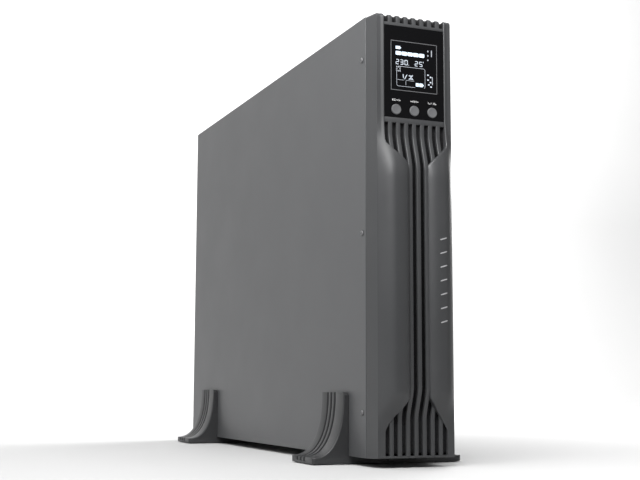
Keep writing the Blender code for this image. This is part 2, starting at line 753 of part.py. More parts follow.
def small_ports():
    """Interface sockets, the card slot's cover and the earth screw. Returns the cut-outs."""
    holes = []
    spans = (-38 * MM, -7 * MM), (21 * MM, 33.5 * MM)
    serial, hole = rear_unit("serial_port", ZINC_STEEL, *spans, 1 * MM, 12 * MM)
    join(serial, local(serial, [recess(-22.5 * MM, 27.25 * MM, 8.5 * MM, 4.25 * MM, 0, 4.8 * MM)]))
    cut(serial, local(serial, [recess(-22.5 * MM, 27.25 * MM, 7.7 * MM, 3.45 * MM, 3 * MM)]))
    holes.append(hole)
    spans = (-12 * MM, 1 * MM), (5 * MM, 17 * MM)
    usb, hole = rear_unit("usb_port", ZINC_STEEL, *spans, 1 * MM, 16 * MM, 1.2 * MM)
    cut(usb, local(usb, [recess(-5.5 * MM, 11 * MM, 4.2 * MM, 4 * MM, 9 * MM)]))
    join(usb, local(usb, [recess(-5.5 * MM, 11 * MM, 2.5 * MM, 1.2 * MM, 10 * MM, -MM)]))
    holes.append(hole)
    spans = (2 * MM, 34 * MM), (19.5 * MM, 34.5 * MM)
    network, hole = rear_unit("surge_port", ZINC_STEEL, *spans, 1 * MM, 20 * MM, 1.2 * MM)
    jacks = [recess(x, 26.55 * MM, 5.9 * MM, 4.05 * MM, 12 * MM) for x in (10.5 * MM, 25.5 * MM)]
    cut(network, local(network, jacks))
    holes.append(hole)
    spans = (-38 * MM, -24 * MM), (6 * MM, 16 * MM)
    terminal, hole = rear_unit("shutdown_terminal", BOARD_GREEN, *spans, 4.6 * MM, 14 * MM, 1.2 * MM)
    screws = []
    for x in (-34 * MM, -28 * MM):
        start = place(x, PANEL_FACE, 11 * MM) - terminal.location
        screws.append(cylinder(1.6 * MM, start, start + Vector((0, 9 * MM, 0)), 12))
    cut(terminal, merged(screws))
    holes.append(hole)
    spans = (-38 * MM, 38 * MM), (38 * MM, 66 * MM)
    slot, hole = rear_unit("slot_cover", COATED_STEEL, *spans, 1.5 * MM, 1 * MM, 5 * MM)
    heads = []
    for x in (-34 * MM, 34 * MM):
        start = place(x, PANEL_FACE + 1 * MM, 52 * MM) - slot.location
        heads.append(cylinder(3.2 * MM, start, start + Vector((0, 3.6 * MM, 0)), 16))
    join(slot, merged(heads))
    holes.append(hole)
    head = place(28 * MM, PANEL_FACE + GAP, 11 * MM)
    screw = add("earth_screw", cylinder(4 * MM, Vector(), (0, 3.2 * MM, 0), 6), BRIGHT_STEEL, head)
    join(screw, cylinder(2 * MM, (0, -9 * MM, 0), (0, 1 * MM, 0), 12))
    return holes


def rear_panel():
    half = HALF_WIDTH - SHEET - GAP
    low, high = 2 * SHEET + 2 * GAP, CASE_HEIGHT - 2 * SHEET - 2 * GAP
    holes = [
        outlet_block("upper_outlets", 204 * MM),
        outlet_block("lower_outlets", 143 * MM),
        large_outlet(107 * MM),
        breaker(107 * MM),
        mains_inlet(70 * MM),
        battery_port(71 * MM),
        *small_ports(),
    ]
    panel = box("rear_panel", place(-half, PANEL_BACK, low), place(half, PANEL_FACE, high), COATED_STEEL)
    cut(panel, local(panel, holes))
    drilled = []
    for height in FAN_HEIGHTS.values():
        start = place(0, PANEL_BACK - MM, height) - panel.location
        drilled.append(cylinder(FAN_BORE - 0.5 * MM, start, start + Vector((0, 4 * MM, 0)), 48))
    start = place(28 * MM, PANEL_BACK - MM, 11 * MM) - panel.location
    drilled.append(cylinder(2 * MM + GAP, start, start + Vector((0, 4 * MM, 0)), 12))
    cut(panel, merged(drilled))


# ---------------------------------------------------------------- fans


def fan_blade(angle):
    """One pitched blade from the hub to near the bore."""
    low, high = Vector((10 * MM, -0.7 * MM, -8 * MM)), Vector((35.5 * MM, 0.7 * MM, 8 * MM))
    blade = boxes([(low, high)])
    pitch = Matrix.Rotation(math.radians(38), 4, "X")
    spin = Matrix.Rotation(angle, 4, "Y")
    bmesh.ops.transform(blade, matrix=spin @ pitch, verts=blade.verts)
    return blade


def fan(level, height):
    back = PANEL_BACK - GAP
    front = back - FAN_THICK
    half = FAN_SIZE / 2
    low, high = place(-half, front, height - half), place(half, back, height + half)
    housing = box(f"{level}_fan_housing", low, high, BLACK_PLASTIC)
    middle = place(0, front, height) - housing.location
    deep = Vector((0, FAN_THICK, 0))
    cut(housing, cylinder(FAN_BORE, middle - deep, middle + 2 * deep, 48))
    plate = Vector((0, FAN_THICK - 2.5 * MM, 0))
    motor_end = middle + deep - Vector((0, 0.2 * MM, 0))
    join(housing, cylinder(HUB_RADIUS, middle + plate, motor_end, 24))
    for turn in range(4):
        strut = boxes([((10 * MM, 0, -1.5 * MM), (39 * MM, 2 * MM, 1.5 * MM))])
        spin = Matrix.Rotation(math.pi / 2 * turn + math.pi / 4, 4, "Y")
        whole = Matrix.Translation(middle + plate) @ spin
        bmesh.ops.transform(strut, matrix=whole, verts=strut.verts)
        join(housing, strut)
    pivot = place(0, front + 11 * MM, height)
    hub = cylinder(HUB_RADIUS, (0, -8 * MM, 0), (0, 10 * MM, 0), 28)
    rotor = add(f"{level}_fan_rotor", hub, BLACK_PLASTIC, pivot)
    blades = [fan_blade(2 * math.pi * turn / FAN_BLADES) for turn in range(FAN_BLADES)]
    join(rotor, merged(blades))
    fan_guard(level, height)


def guard_bar(angle, half_thick):
    half = GUARD_WIRE / 2
    bar = boxes([((-GUARD_REACH, -half_thick, -half), (GUARD_REACH, half_thick, half))])
    bmesh.ops.transform(bar, matrix=Matrix.Rotation(angle, 4, "Y"), verts=bar.verts)
    return bar


def fan_guard(level, height):
    """Finger guard outside the rear panel: rings on two crossed bars that turn in to the panel."""
    half = GUARD_WIRE / 2
    centre = place(0, PANEL_FACE + REAR_PROUD - half, height)
    guard = add(f"{level}_fan_guard", guard_bar(math.pi / 4, half), BRIGHT_STEEL, centre)
    join(guard, guard_bar(-math.pi / 4, half * 0.98))
    for radius in GUARD_RINGS:
        join(guard, tube_ring(radius, GUARD_WIRE * 0.9))
    foot = GAP - REAR_PROUD + half
    ends = []
    for turn in range(4):
        low = (GUARD_REACH - GUARD_WIRE, foot, -2 * MM)
        leg = boxes([(low, (GUARD_REACH + GUARD_WIRE, GUARD_WIRE * 0.4, 2 * MM))])
        spin = Matrix.Rotation(math.pi / 4 + turn * math.pi / 2, 4, "Y")
        bmesh.ops.transform(leg, matrix=spin, verts=leg.verts)
        ends.append(leg)
    join(guard, merged(ends))


def tube_ring(radius, wire):
    """Closed ring of diamond section about Y."""
    builder = bmesh.new()
    sides, loops = 28, []
    for turn in range(sides):
        angle = 2 * math.pi * turn / sides
        section = []
        for offset, lift in ((wire / 2, 0), (0, wire / 2), (-wire / 2, 0), (0, -wire / 2)):
            reach = radius + offset
            x, z = reach * math.cos(angle), reach * math.sin(angle)
            section.append(builder.verts.new((x, lift, z)))
        loops.append(section)
    for one, two in zip(loops, loops[1:] + loops[:1]):
        for i in range(4):
            j = (i + 1) % 4
            builder.faces.new((one[i], one[j], two[j], two[i]))
    return builder


# ---------------------------------------------------------------- stand


def foot_curve(inset, steps):
    """Outer face of a foot from toe to top as (offset from the case's side, height)."""
    points = []
    across = FOOT_REACH - FOOT_WALL
    rise = FOOT_TOP - TOE_HEIGHT
    for step in range(steps + 1):
        angle = math.pi / 2 * (1 - step / steps)
        side = math.cos(angle) ** (2 / FOOT_CURVE) if step else 0.0
        up = math.sin(angle) ** (2 / FOOT_CURVE) if step < steps else 0.0
        height = FOOT_TOP - rise * up - inset * (1 - step / steps)
        points.append((FOOT_REACH - across * side - inset, height))
    return points


def foot_solid(side):
    """Half stand: plate under the case, wall up its side and a spreading toe."""
    wall_in = HALF_WIDTH + GAP
    outline = [(GAP, PAD_PROUD), (HALF_WIDTH + FOOT_REACH, PAD_PROUD)]
    outline += [(HALF_WIDTH + offset, height) for offset, height in foot_curve(0.0, FOOT_STEPS)]
    outline += [(wall_in, FOOT_TOP), (wall_in, STAND_LIFT - GAP), (GAP, STAND_LIFT - GAP)]
    return extruded([(side * x, z) for x, z in outline], 0, FOOT_DEPTH)


def foot_cuts(side):
    """Pocket under the plate, seat of the rubber pad and the three grooves of the outer face."""
    made = []
    for x_span, y_span, top in (
        ((6 * MM, 50 * MM), (4 * MM, FOOT_DEPTH - 4 * MM), 5 * MM),
        ((PAD_X[0] - GAP, PAD_X[1] + GAP), (PAD_Y[0] - GAP, PAD_Y[1] + GAP), PAD_THICK + GAP),
    ):
        low, high = sorted(side * x for x in x_span)
        made.append(boxes([((low, y_span[0], -MM), (high, y_span[1], top))]))
    curve = foot_curve(GROOVE_DEPTH, FOOT_STEPS)
    far, above, foot = FOOT_REACH + 10 * MM, FOOT_TOP + MM, 3 * MM
    outline = [(far, foot), (curve[0][0], foot), *curve, (curve[-1][0], above), (far, above)]
    outline = [(side * (HALF_WIDTH + x), z) for x, z in outline]
    for middle in GROOVE_PLACES:
        made.append(extruded(outline, middle - GROOVE_WIDTH / 2, middle + GROOVE_WIDTH / 2))
    return made


def stand():
    for end, depth in FOOT_FRONTS.items():
        for name, side in (("left", -1), ("right", 1)):
            corner = Vector((0, SEAM_Y + depth, 0))
            foot = add(f"{end}_{name}_foot", foot_solid(side), STAND_PLASTIC, corner)
            for cutter in foot_cuts(side):
                bmesh.ops.recalc_face_normals(cutter, faces=cutter.faces)
                cut(foot, cutter)
            low, high = sorted((side * PAD_X[0], side * PAD_X[1]))
            box(
                f"{end}_{name}_pad",
                (low, corner.y + PAD_Y[0], 0),
                (high, corner.y + PAD_Y[1], PAD_THICK),
                RUBBER,
            )


# ---------------------------------------------------------------- battery drawer

def battery_drawer():
    start = FRAME_DEPTH + SHEET + 1 * MM
    tray = box(
        "battery_tray",
        place(TRAY_LEFT, start, TRAY_LOW),
        place(TRAY_RIGHT, start + TRAY_DEPTH, TRAY_HIGH),
        ZINC_STEEL,
    )
    inner = (
        place(TRAY_LEFT - MM, start + SHEET, TRAY_LOW + SHEET) - tray.location,
        place(TRAY_RIGHT - SHEET, start + TRAY_DEPTH - SHEET, TRAY_HIGH - SHEET) - tray.location,
    )
    cut(tray, boxes([inner]))
    neck = (
        place(TRAY_LEFT + 4 * MM, DOOR_FRONT + DOOR_THICK + GAP, TRAY_LOW + 4 * MM) - tray.location,
        place(TRAY_RIGHT - 4 * MM, start + SHEET / 2, TRAY_HIGH - 4 * MM) - tray.location,
    )
    join(tray, boxes([neck]))
    box(
        "battery_door",
        place(TRAY_LEFT - DOOR_OVERLAP - 3 * MM, DOOR_FRONT, TRAY_LOW - DOOR_OVERLAP),
        place(TRAY_RIGHT + 2.5 * MM, DOOR_FRONT + DOOR_THICK, TRAY_HIGH + DOOR_OVERLAP),
        COATED_STEEL,
    )
    (low, high), reach = HANDLE_FEET, DOOR_FRONT - HANDLE_REACH
    corners = [
        place(HANDLE_X, DOOR_FRONT - GAP, low),
        place(HANDLE_X, reach, low),
        place(HANDLE_X, reach, high),
        place(HANDLE_X, DOOR_FRONT - GAP, high),
    ]
    tube("battery_handle", rounded_path(corners, 8 * MM), HANDLE_RADIUS, BLACK_PLASTIC)
    first = start + SHEET + GAP
    count = 0
    for row in range(3):
        for shelf in range(2):
            count += 1
            low = Vector((
                TRAY_RIGHT - SHEET - GAP - BATTERY.x,
                first + row * BATTERY_PITCH,
                TRAY_LOW + SHEET + 0.2 * MM + shelf * (BATTERY.z + GAP),
            ))
            battery(f"battery_{count}", low)
    lead_and_plug()


def battery(name, corner):
    """Sealed lead-acid block lying on its side, terminals to the front."""
    low = place(corner.x, corner.y + TERMINAL_LENGTH, corner.z)
    block = box(name, low, low + BATTERY, BATTERY_CASE)
    half = BATTERY / 2
    terminals = []
    for up in (-half.z + TERMINAL_INSET, half.z - TERMINAL_INSET):
        start = Vector((-half.x + 8 * MM, -half.y - TERMINAL_LENGTH + MM, up - 3.2 * MM))
        terminals.append((start, start + Vector((MM, TERMINAL_LENGTH, 6.4 * MM))))
    join(block, boxes(terminals))
    start = Vector((-half.x - 0.1 * MM, -half.y + 15 * MM, -half.z - MM))
    cut(block, boxes([(start, start + Vector((0.9 * MM, MM, BATTERY.z + 2 * MM)))]))


def lead_and_plug():
    """Battery plug that leaves its socket as the drawer comes out, and its lead."""
    low, high = DC_SOCKET_LOW, DC_SOCKET_HIGH
    box("battery_plug", place(-11 * MM, -9.6 * MM, low), place(11 * MM, -0.6 * MM, high), RED_PLASTIC)
    socket = box("battery_socket", place(-12 * MM, 0, low), place(12 * MM, 16 * MM, high), RED_PLASTIC)
    flange = (
        place(-15 * MM, FRAME_DEPTH + SHEET + GAP, low - 3 * MM),
        place(15 * MM, FRAME_DEPTH + SHEET + 3 * MM, high + 3 * MM),
    )
    join(socket, local(socket, [flange]))
    corners = [
        place(LEAD_X, -5 * MM, low - GAP),
        place(LEAD_X, -5 * MM, LEAD_LOW),
        place(LEAD_X, DOOR_FRONT - GAP, LEAD_LOW),
    ]
    tube("battery_lead", rounded_path(corners, 3.5 * MM), LEAD_RADIUS, BLACK_PLASTIC)


# ---------------------------------------------------------------- power electronics


def electronics():
    """Boards and heavy parts behind the batteries, standing on the chassis side."""
    low = place(BOARD_FACE, 325 * MM, 20 * MM)
    high = place(BOARD_FACE + BOARD_THICK, 560 * MM, 425 * MM)
    box("power_board", low, high, BOARD_GREEN)
    stand_end = BOARD_FACE - GAP
    for name, height in SINK_LOWS.items():
        base = box(
            f"{name}_heat_sink",
            place(SINK_LEFT, SINK_DEPTHS[0], height),
            place(stand_end, SINK_DEPTHS[0] + SINK_BASE, height + SINK_TALL),
            ALUMINIUM,
        )
        fins = []
        for index in range(SINK_FINS):
            up = height + 3 * MM + index * SINK_PITCH
            start = place(SINK_LEFT, SINK_DEPTHS[0] + SINK_BASE - MM, up)
            fins.append((start, place(BOARD_FACE - 6 * MM, SINK_DEPTHS[1], up + SINK_FIN)))
        join(base, local(base, fins))
    coil = cylinder(30 * MM, (-20 * MM, 0, 0), (20 * MM, 0, 0), 28, "X")
    coil = add("boost_inductor", coil, COPPER, place(12 * MM, 360 * MM, 255 * MM))
    cut(coil, cylinder(12 * MM, (-30 * MM, 0, 0), (30 * MM, 0, 0), 20, "X"))
    low, high = place(-5 * MM, 335 * MM, 30 * MM), place(stand_end, 385 * MM, 80 * MM)
    box("charger_transformer", low, high, BLACK_PLASTIC)
    can = cylinder(17 * MM, (0, 0, 0), (stand_end + 15 * MM, 0, 0), 24, "X")
    add("bus_capacitor", can, CAPACITOR_SLEEVE, place(-15 * MM, 370 * MM, 365 * MM))


bezel()
display()
air_filter()
side_cover()
chassis()
cover_screws()
front_frame()
rear_panel()
for fan_level, fan_height in FAN_HEIGHTS.items():
    fan(fan_level, fan_height)
stand()
battery_drawer()
electronics()

for part in parts.objects:
    part.data.shade_smooth()
    part.data.set_sharp_from_angle(angle=math.radians(30))
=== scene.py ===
"""Looks of a two-unit uninterruptible power supply standing as a tower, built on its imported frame.

Metres, +Z up, -Y is the front, and the origin is on the floor under the middle of the object.
Lift is the distance ahead of the display's face, height is measured from the case's underside.
"""

import math

import bmesh
import bpy
from mathutils import Matrix, Vector


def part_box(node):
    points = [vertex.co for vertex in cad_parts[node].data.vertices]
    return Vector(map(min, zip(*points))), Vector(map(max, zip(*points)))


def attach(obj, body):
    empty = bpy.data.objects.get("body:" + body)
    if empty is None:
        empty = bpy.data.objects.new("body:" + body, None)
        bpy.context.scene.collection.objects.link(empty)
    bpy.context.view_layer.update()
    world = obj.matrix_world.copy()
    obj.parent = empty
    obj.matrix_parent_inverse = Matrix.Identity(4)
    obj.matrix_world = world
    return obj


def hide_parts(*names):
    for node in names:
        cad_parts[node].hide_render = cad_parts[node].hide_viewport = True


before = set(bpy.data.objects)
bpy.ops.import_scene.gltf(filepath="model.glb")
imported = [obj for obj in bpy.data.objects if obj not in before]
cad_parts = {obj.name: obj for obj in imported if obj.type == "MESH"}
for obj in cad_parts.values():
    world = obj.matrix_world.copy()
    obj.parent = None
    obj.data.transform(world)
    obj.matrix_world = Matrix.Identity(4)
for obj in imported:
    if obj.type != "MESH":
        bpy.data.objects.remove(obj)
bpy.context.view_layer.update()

MM = 0.001

# Places read from the frame
CASE_LOW, CASE_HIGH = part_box("chassis")
SEAM_Y = CASE_LOW.y
REAR_Y = CASE_HIGH.y
CASE_BOTTOM = CASE_LOW.z
CASE_HEIGHT = CASE_HIGH.z - CASE_LOW.z
HALF_WIDTH = CASE_HIGH.x
WINDOW_LOW, WINDOW_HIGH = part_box("display_window")
FACE_Y = WINDOW_LOW.y
CROWN_LIFT = FACE_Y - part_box("bezel")[0].y
SEAM_LIFT = FACE_Y - SEAM_Y


# ---------------------------------------------------------------- mesh helpers


def at(x, lift, height):
    return Vector((x, FACE_Y - lift, CASE_BOTTOM + height))


def height_of(z):
    return z - CASE_BOTTOM


def place_of(node):
    """A CAD node's lowest corner, highest corner and middle."""
    low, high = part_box(node)
    return low, high, (low + high) / 2


def in_mm(*points):
    """Points given in millimetres, in metres."""
    return [tuple(part * MM for part in point) for point in points]


def smooth(t):
    t = min(max(t, 0.0), 1.0)
    return t * t * (3 - 2 * t)


def circle(count):
    """(cosine, sine) pairs evenly spaced once round."""
    angles = [2 * math.pi * step / count for step in range(count)]
    return [(math.cos(angle), math.sin(angle)) for angle in angles]


def quarter(steps):
    """(cosine, sine) pairs from nought to a right angle."""
    angles = [math.pi / 2 * step / steps for step in range(steps + 1)]
    return [(math.cos(angle), math.sin(angle)) for angle in angles]


def quads(builder, rows):
    """Faces between rows of vertices."""
    for one, two in zip(rows, rows[1:]):
        for i in range(len(one) - 1):
            corners = (one[i], one[i + 1], two[i + 1], two[i])
            if len(set(corners)) == 4:
                builder.faces.new(corners)


def tube(rings, cap=True, closed=False):
    """A skin over closed rings of points, its ends capped, left open or joined to each other."""
    builder = bmesh.new()
    rows = [[builder.verts.new(point) for point in ring] for ring in rings]
    quads(builder, [row + row[:1] for row in (rows + rows[:1] if closed else rows)])
    if cap and not closed:
        builder.faces.new(rows[0][::-1])
        builder.faces.new(rows[-1])
    return builder


def border(grid):
    """A grid's edge: its first row, the last point of each row, and its last row backwards."""
    return grid[0] + [row[-1] for row in grid[1:-1]] + grid[-1][::-1]


def slab(sheets):
    """A closed skin over two grids of points and the rim between them."""
    builder = bmesh.new()
    rims = []
    for points in sheets:
        grid = [[builder.verts.new(point) for point in row] for row in points]
        quads(builder, grid)
        rim = border(grid) + [row[0] for row in grid[1:-1]][::-1]
        rims.append(rim + rim[:1])
    quads(builder, rims)
    return builder


def merged(builders):
    whole = bmesh.new()
    for builder in builders:
        scratch = bpy.data.meshes.new("scratch")
        builder.to_mesh(scratch)
        builder.free()
        whole.from_mesh(scratch)
        bpy.data.meshes.remove(scratch)
    return whole


def moved(builder, *matrices):
    for matrix in matrices:
        bmesh.ops.transform(builder, matrix=matrix, verts=builder.verts)
    return builder


def cuboid(low, high):
    low, high = Vector(low), Vector(high)
    builder = bmesh.new()
    scale = Matrix.Diagonal((*(high - low), 1))
    bmesh.ops.create_cube(builder, size=1.0, matrix=Matrix.Translation((low + high) / 2) @ scale)
    return builder


def rounded_cuboid(low, high, radius, segments=2):
    """A box with every edge rounded."""
    builder = cuboid(low, high)
    edges = builder.edges[:]
    bmesh.ops.bevel(builder, geom=edges, offset=radius, segments=segments, profile=0.5, affect="EDGES")
    return builder


TURNS = {
    "X": Matrix.Rotation(math.pi / 2, 4, "Y"),
    "Y": Matrix.Rotation(-math.pi / 2, 4, "X"),
    "-Y": Matrix.Rotation(math.pi / 2, 4, "X"),
    "-X": Matrix.Rotation(-math.pi / 2, 4, "Y"),
    "Z": Matrix.Identity(4),
}
WELD_DISTANCE = 1e-7


def lathe(profile, centre, axis, sides=32):
    """Turned piece: (radius, distance along the axis) points, closed where the radius is nought."""
    rings = []
    for radius, along in profile:
        rings.append([(radius * cosine, radius * sine, along) for cosine, sine in circle(sides)])
    builder = tube(rings, cap=profile[0][0] > 0 or profile[-1][0] > 0)
    bmesh.ops.remove_doubles(builder, verts=builder.verts, dist=WELD_DISTANCE)
    return moved(builder, TURNS[axis], Matrix.Translation(Vector(centre)))


def sweep(points, radius, sides=12, closed=False):
    """Round bar along points."""
    points = [Vector(point) for point in points]
    rings = []
    normal = None
    count = len(points)
    for i, point in enumerate(points):
        before = points[(i - 1) % count] if closed or i else point
        after = points[(i + 1) % count] if closed or i < count - 1 else point
        along = (after - before).normalized()
        if normal is None:
            normal = along.orthogonal().normalized()
        normal = (normal - along * normal.dot(along)).normalized()
        across = along.cross(normal)
        rings.append([point + (normal * cosine + across * sine) * radius for cosine, sine in circle(sides)])
    return tube(rings, closed=closed)


def rounded_path(corners, radius, steps=8):
    """A polyline whose corners are replaced by short curves."""
    corners = [Vector(corner) for corner in corners]
    path = corners[:1]
    for before, corner, after in zip(corners, corners[1:], corners[2:]):
        start = corner + (before - corner).normalized() * radius
        end = corner + (after - corner).normalized() * radius
        for step in range(steps + 1):
            t = step / steps
            path.append(start * (1 - t) ** 2 + corner * 2 * t * (1 - t) + end * t**2)
    return path + corners[-1:]


def prism(outline, low, high, axis="X"):
    """A closed outline carried along X (outline in Y, Z) or along Y (outline in X, Z)."""
    if axis == "X":
        return tube([[(place, a, b) for a, b in outline] for place in (low, high)])
    return tube([[(a, place, b) for a, b in outline] for place in (low, high)])


def settle(builder, angle=40.0):
    """Consistent normals, smooth shading and sharp edges past an angle, as a mesh."""
    bmesh.ops.remove_doubles(builder, verts=builder.verts, dist=WELD_DISTANCE)
    bmesh.ops.recalc_face_normals(builder, faces=builder.faces)
    mesh = bpy.data.meshes.new("mesh")
    builder.to_mesh(mesh)
    builder.free()
    mesh.shade_smooth()
    mesh.set_sharp_from_angle(angle=math.radians(angle))
    return mesh


def placed(name, data):
    """A new object in the scene."""
    made = bpy.data.objects.new(name, data)
    bpy.context.scene.collection.objects.link(made)
    return made


def piece(name, builder, material, body, replaced=(), angle=40.0):
    """A finished piece that rides on a body and stands for the replaced CAD nodes."""
    mesh = settle(builder, angle)
    mesh.name = name
    mesh.materials.append(material)
    made = placed(name, mesh)
    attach(made, body)
    if replaced:
        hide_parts(*replaced)


EDGE_ANGLE = math.radians(35)


def break_edges(obj, width, segments=2):
    """Rounds every edge that turns by more than the edge angle."""
    bevel = obj.modifiers.new("Edges", "BEVEL")
    bevel.width = width
    bevel.segments = segments
    bevel.limit_method = "ANGLE"
    bevel.angle_limit = EDGE_ANGLE


def carved(builder, cutters, width=0.0, segments=2):
    """A bmesh with others cut out of it, and its edges then rounded."""
    helpers = [placed("carved", settle(builder))]
    if cutters:
        helpers.append(placed("cutter", settle(merged(cutters))))
        cut = helpers[0].modifiers.new("Cut", "BOOLEAN")
        cut.operation = "DIFFERENCE"
        cut.object = helpers[1]
    if width:
        break_edges(helpers[0], width, segments)
    bpy.context.view_layer.update()
    graph = bpy.context.evaluated_depsgraph_get()
    result = bmesh.new()
    result.from_mesh(bpy.data.meshes.new_from_object(helpers[0].evaluated_get(graph)))
    assert result.faces, "the cutters left nothing"
    for helper in helpers:
        bpy.data.objects.remove(helper, do_unlink=True)
    return result


# ---------------------------------------------------------------- materials


def link(tree, source, target):
    tree.links.new(source, target)


def place_on(tree):
    """Where on its object a point of the surface lies."""
    return tree.nodes.new("ShaderNodeTexCoord").outputs["Object"]


def noise(tree, where, scale, detail=3.0, stretch=None):
    """Noise value over the surface; stretch scales the axes for a brushed look."""
    if stretch:
        mapping = tree.nodes.new("ShaderNodeMapping")
        mapping.inputs["Scale"].default_value = stretch
        link(tree, where, mapping.inputs["Vector"])
        where = mapping.outputs["Vector"]
    node = tree.nodes.new("ShaderNodeTexNoise")
    node.inputs["Scale"].default_value = scale
    node.inputs["Detail"].default_value = detail
    link(tree, where, node.inputs["Vector"])
    return node.outputs["Fac"]


def spread(tree, value, low, high):
    node = tree.nodes.new("ShaderNodeMapRange")
    node.inputs["From Min"].default_value = 0.3
    node.inputs["From Max"].default_value = 0.7
    node.inputs["To Min"].default_value = low
    node.inputs["To Max"].default_value = high
    link(tree, value, node.inputs["Value"])
    return node.outputs["Result"]


def tinted(tree, value, dark, light):
    node = tree.nodes.new("ShaderNodeMix")
    node.data_type = "RGBA"
    node.inputs[6].default_value = (*dark, 1.0)
    node.inputs[7].default_value = (*light, 1.0)
    link(tree, value, node.inputs[0])
    return node.outputs[2]


def bumped(tree, height, distance):
    """Raises a material's surface by a height value."""
    bump = tree.nodes.new("ShaderNodeBump")
    bump.inputs["Distance"].default_value = distance
    link(tree, height, bump.inputs["Height"])
    link(tree, bump.outputs["Normal"], tree.nodes["Principled BSDF"].inputs["Normal"])


def surface(
    name, color, roughness, metallic=0.0, grain=0.0, grain_size=0.5,
    drift=0.06, drift_size=60, shine_drift=0.06, brushed=None, level=0.5,
):
    """A surface whose colour and gloss drift a little and whose grain is a fine bump. Sizes are in mm."""
    made = bpy.data.materials.new(name)
    made.use_nodes = True
    tree = made.node_tree
    shader = tree.nodes["Principled BSDF"]
    shader.inputs["Metallic"].default_value = metallic
    shader.inputs["Specular IOR Level"].default_value = level
    where = place_on(tree)
    broad = noise(tree, where, 1 / (drift_size * MM), 4.0)
    dark, light = ([part * (1 + shift) for part in color] for shift in (-drift, drift))
    link(tree, tinted(tree, spread(tree, broad, 0, 1), dark, light), shader.inputs["Base Color"])
    fine = noise(tree, where, 1 / (grain_size * MM), 2.0, brushed)
    low, high = roughness - shine_drift, roughness + shine_drift
    link(tree, spread(tree, fine if brushed else broad, low, high), shader.inputs["Roughness"])
    if grain:
        bumped(tree, fine, grain * MM)
    return made


def lamp(name, color, strength):
    """Lit marks of the screen, a little uneven as real segments are."""
    made = surface(name, [part * 0.6 for part in color], 0.35)
    tree = made.node_tree
    shader = tree.nodes["Principled BSDF"]
    shader.inputs["Emission Strength"].default_value = strength
    value = spread(tree, noise(tree, place_on(tree), 1 / (4 * MM)), 0, 1)
    dark = [part * 0.85 for part in color]
    link(tree, tinted(tree, value, dark, color), shader.inputs["Emission Color"])
    return made


def foam_surface(name, color):
    """Open cells: round pits of many sizes."""
    made = surface(name, color, 0.9, drift=0.3, drift_size=2, level=0.2)
    tree = made.node_tree
    cells = tree.nodes.new("ShaderNodeTexVoronoi")
    cells.inputs["Scale"].default_value = 1 / (1.2 * MM)
    link(tree, place_on(tree), cells.inputs["Vector"])
    bumped(tree, cells.outputs["Distance"], 0.6 * MM)
    return made


COATED = surface(
    "coated_steel", (0.062, 0.0635, 0.066), 0.42, grain=0.02, grain_size=0.6, drift=0.015, shine_drift=0.02
)
BEZEL = surface("bezel_plastic", (0.041, 0.042, 0.044), 0.42, grain=0.012, grain_size=0.45, drift=0.03)
GLOSS = surface(
    "display_gloss", (0.002, 0.002, 0.0025), 0.07, shine_drift=0.02, grain=0.001, grain_size=6, level=0.2
)
SCREEN = surface("screen_glass", (0.003, 0.004, 0.005), 0.12, shine_drift=0.02)
LIT = lamp("lit_segments", (0.72, 0.86, 1.0), 0.75)
PALE = lamp("pale_segments", (0.66, 0.72, 0.8), 0.5)
DIM = lamp("dim_segments", (0.52, 0.55, 0.6), 0.2)
PRINT = surface("white_print", (0.62, 0.62, 0.62), 0.45, drift=0.05, drift_size=1)
TRIM_LINE = surface("screen_line_print", (0.12, 0.122, 0.126), 0.45, drift=0.05, drift_size=2)
BUTTON = surface("button_plastic", (0.11, 0.112, 0.116), 0.32, grain=0.006, grain_size=0.3)
STAND = surface("stand_plastic", (0.023, 0.0235, 0.025), 0.45, grain=0.014, drift=0.04)
RUBBER = surface("pad_rubber", (0.02, 0.02, 0.021), 0.85, grain=0.05, grain_size=0.8, drift=0.15)
FOAM = foam_surface("filter_foam", (0.012, 0.012, 0.013))
BLACK = surface("black_plastic", (0.022, 0.022, 0.024), 0.42, grain=0.01, grain_size=0.4, drift=0.08)
PLATED = surface("plated_steel", (0.66, 0.66, 0.67), 0.26, 1.0, grain=0.004, grain_size=0.7, drift=0.05)
SCREW = surface("screw_finish", (0.13, 0.13, 0.133), 0.5, 0.2, grain=0.004, drift=0.05, drift_size=3)
ZINC = surface(
    "zinc_steel", (0.52, 0.53, 0.54), 0.36, 1.0, grain=0.006, grain_size=3,
    drift=0.08, drift_size=9, brushed=(1.0, 0.06, 1.0), shine_drift=0.1,
)
BATTERY = surface("battery_case", (0.045, 0.046, 0.05), 0.45, grain=0.02, grain_size=0.7, drift=0.08)
BOARD = surface("circuit_board", (0.012, 0.11, 0.045), 0.3, drift=0.2, drift_size=5, grain=0.02)
TERMINAL = surface("terminal_green", (0.02, 0.26, 0.09), 0.4, grain=0.01)
ALUMINIUM = surface(
    "heat_sink_aluminium", (0.6, 0.6, 0.61), 0.38, 1.0, grain=0.008, grain_size=2,
    brushed=(0.08, 1.0, 1.0), shine_drift=0.1,
)
COPPER = surface("copper_winding", (0.5, 0.17, 0.06), 0.3, 1.0, drift=0.12, drift_size=6)
RED = surface("red_plastic", (0.42, 0.02, 0.014), 0.38, grain=0.012)
SLEEVE = surface("capacitor_sleeve", (0.012, 0.02, 0.09), 0.25, drift=0.1, drift_size=8)
BRASS = surface("brass_contact", (0.72, 0.5, 0.2), 0.28, 1.0, drift=0.08, drift_size=3)
# Near-black: painted shade in the outlet slots, and the own colour of the jack liners and the inductor core.
DARK = surface("painted_shade_and_black_plastic", (0.008, 0.008, 0.009), 0.6, grain=0.02, drift=0.2)
SILVER = surface("silver_trim", (0.42, 0.42, 0.43), 0.4, 0.2, grain=0.004, drift=0.05, drift_size=5)


# ---------------------------------------------------------------- CAD pieces that stay


SHARP_ANGLE = math.radians(50)


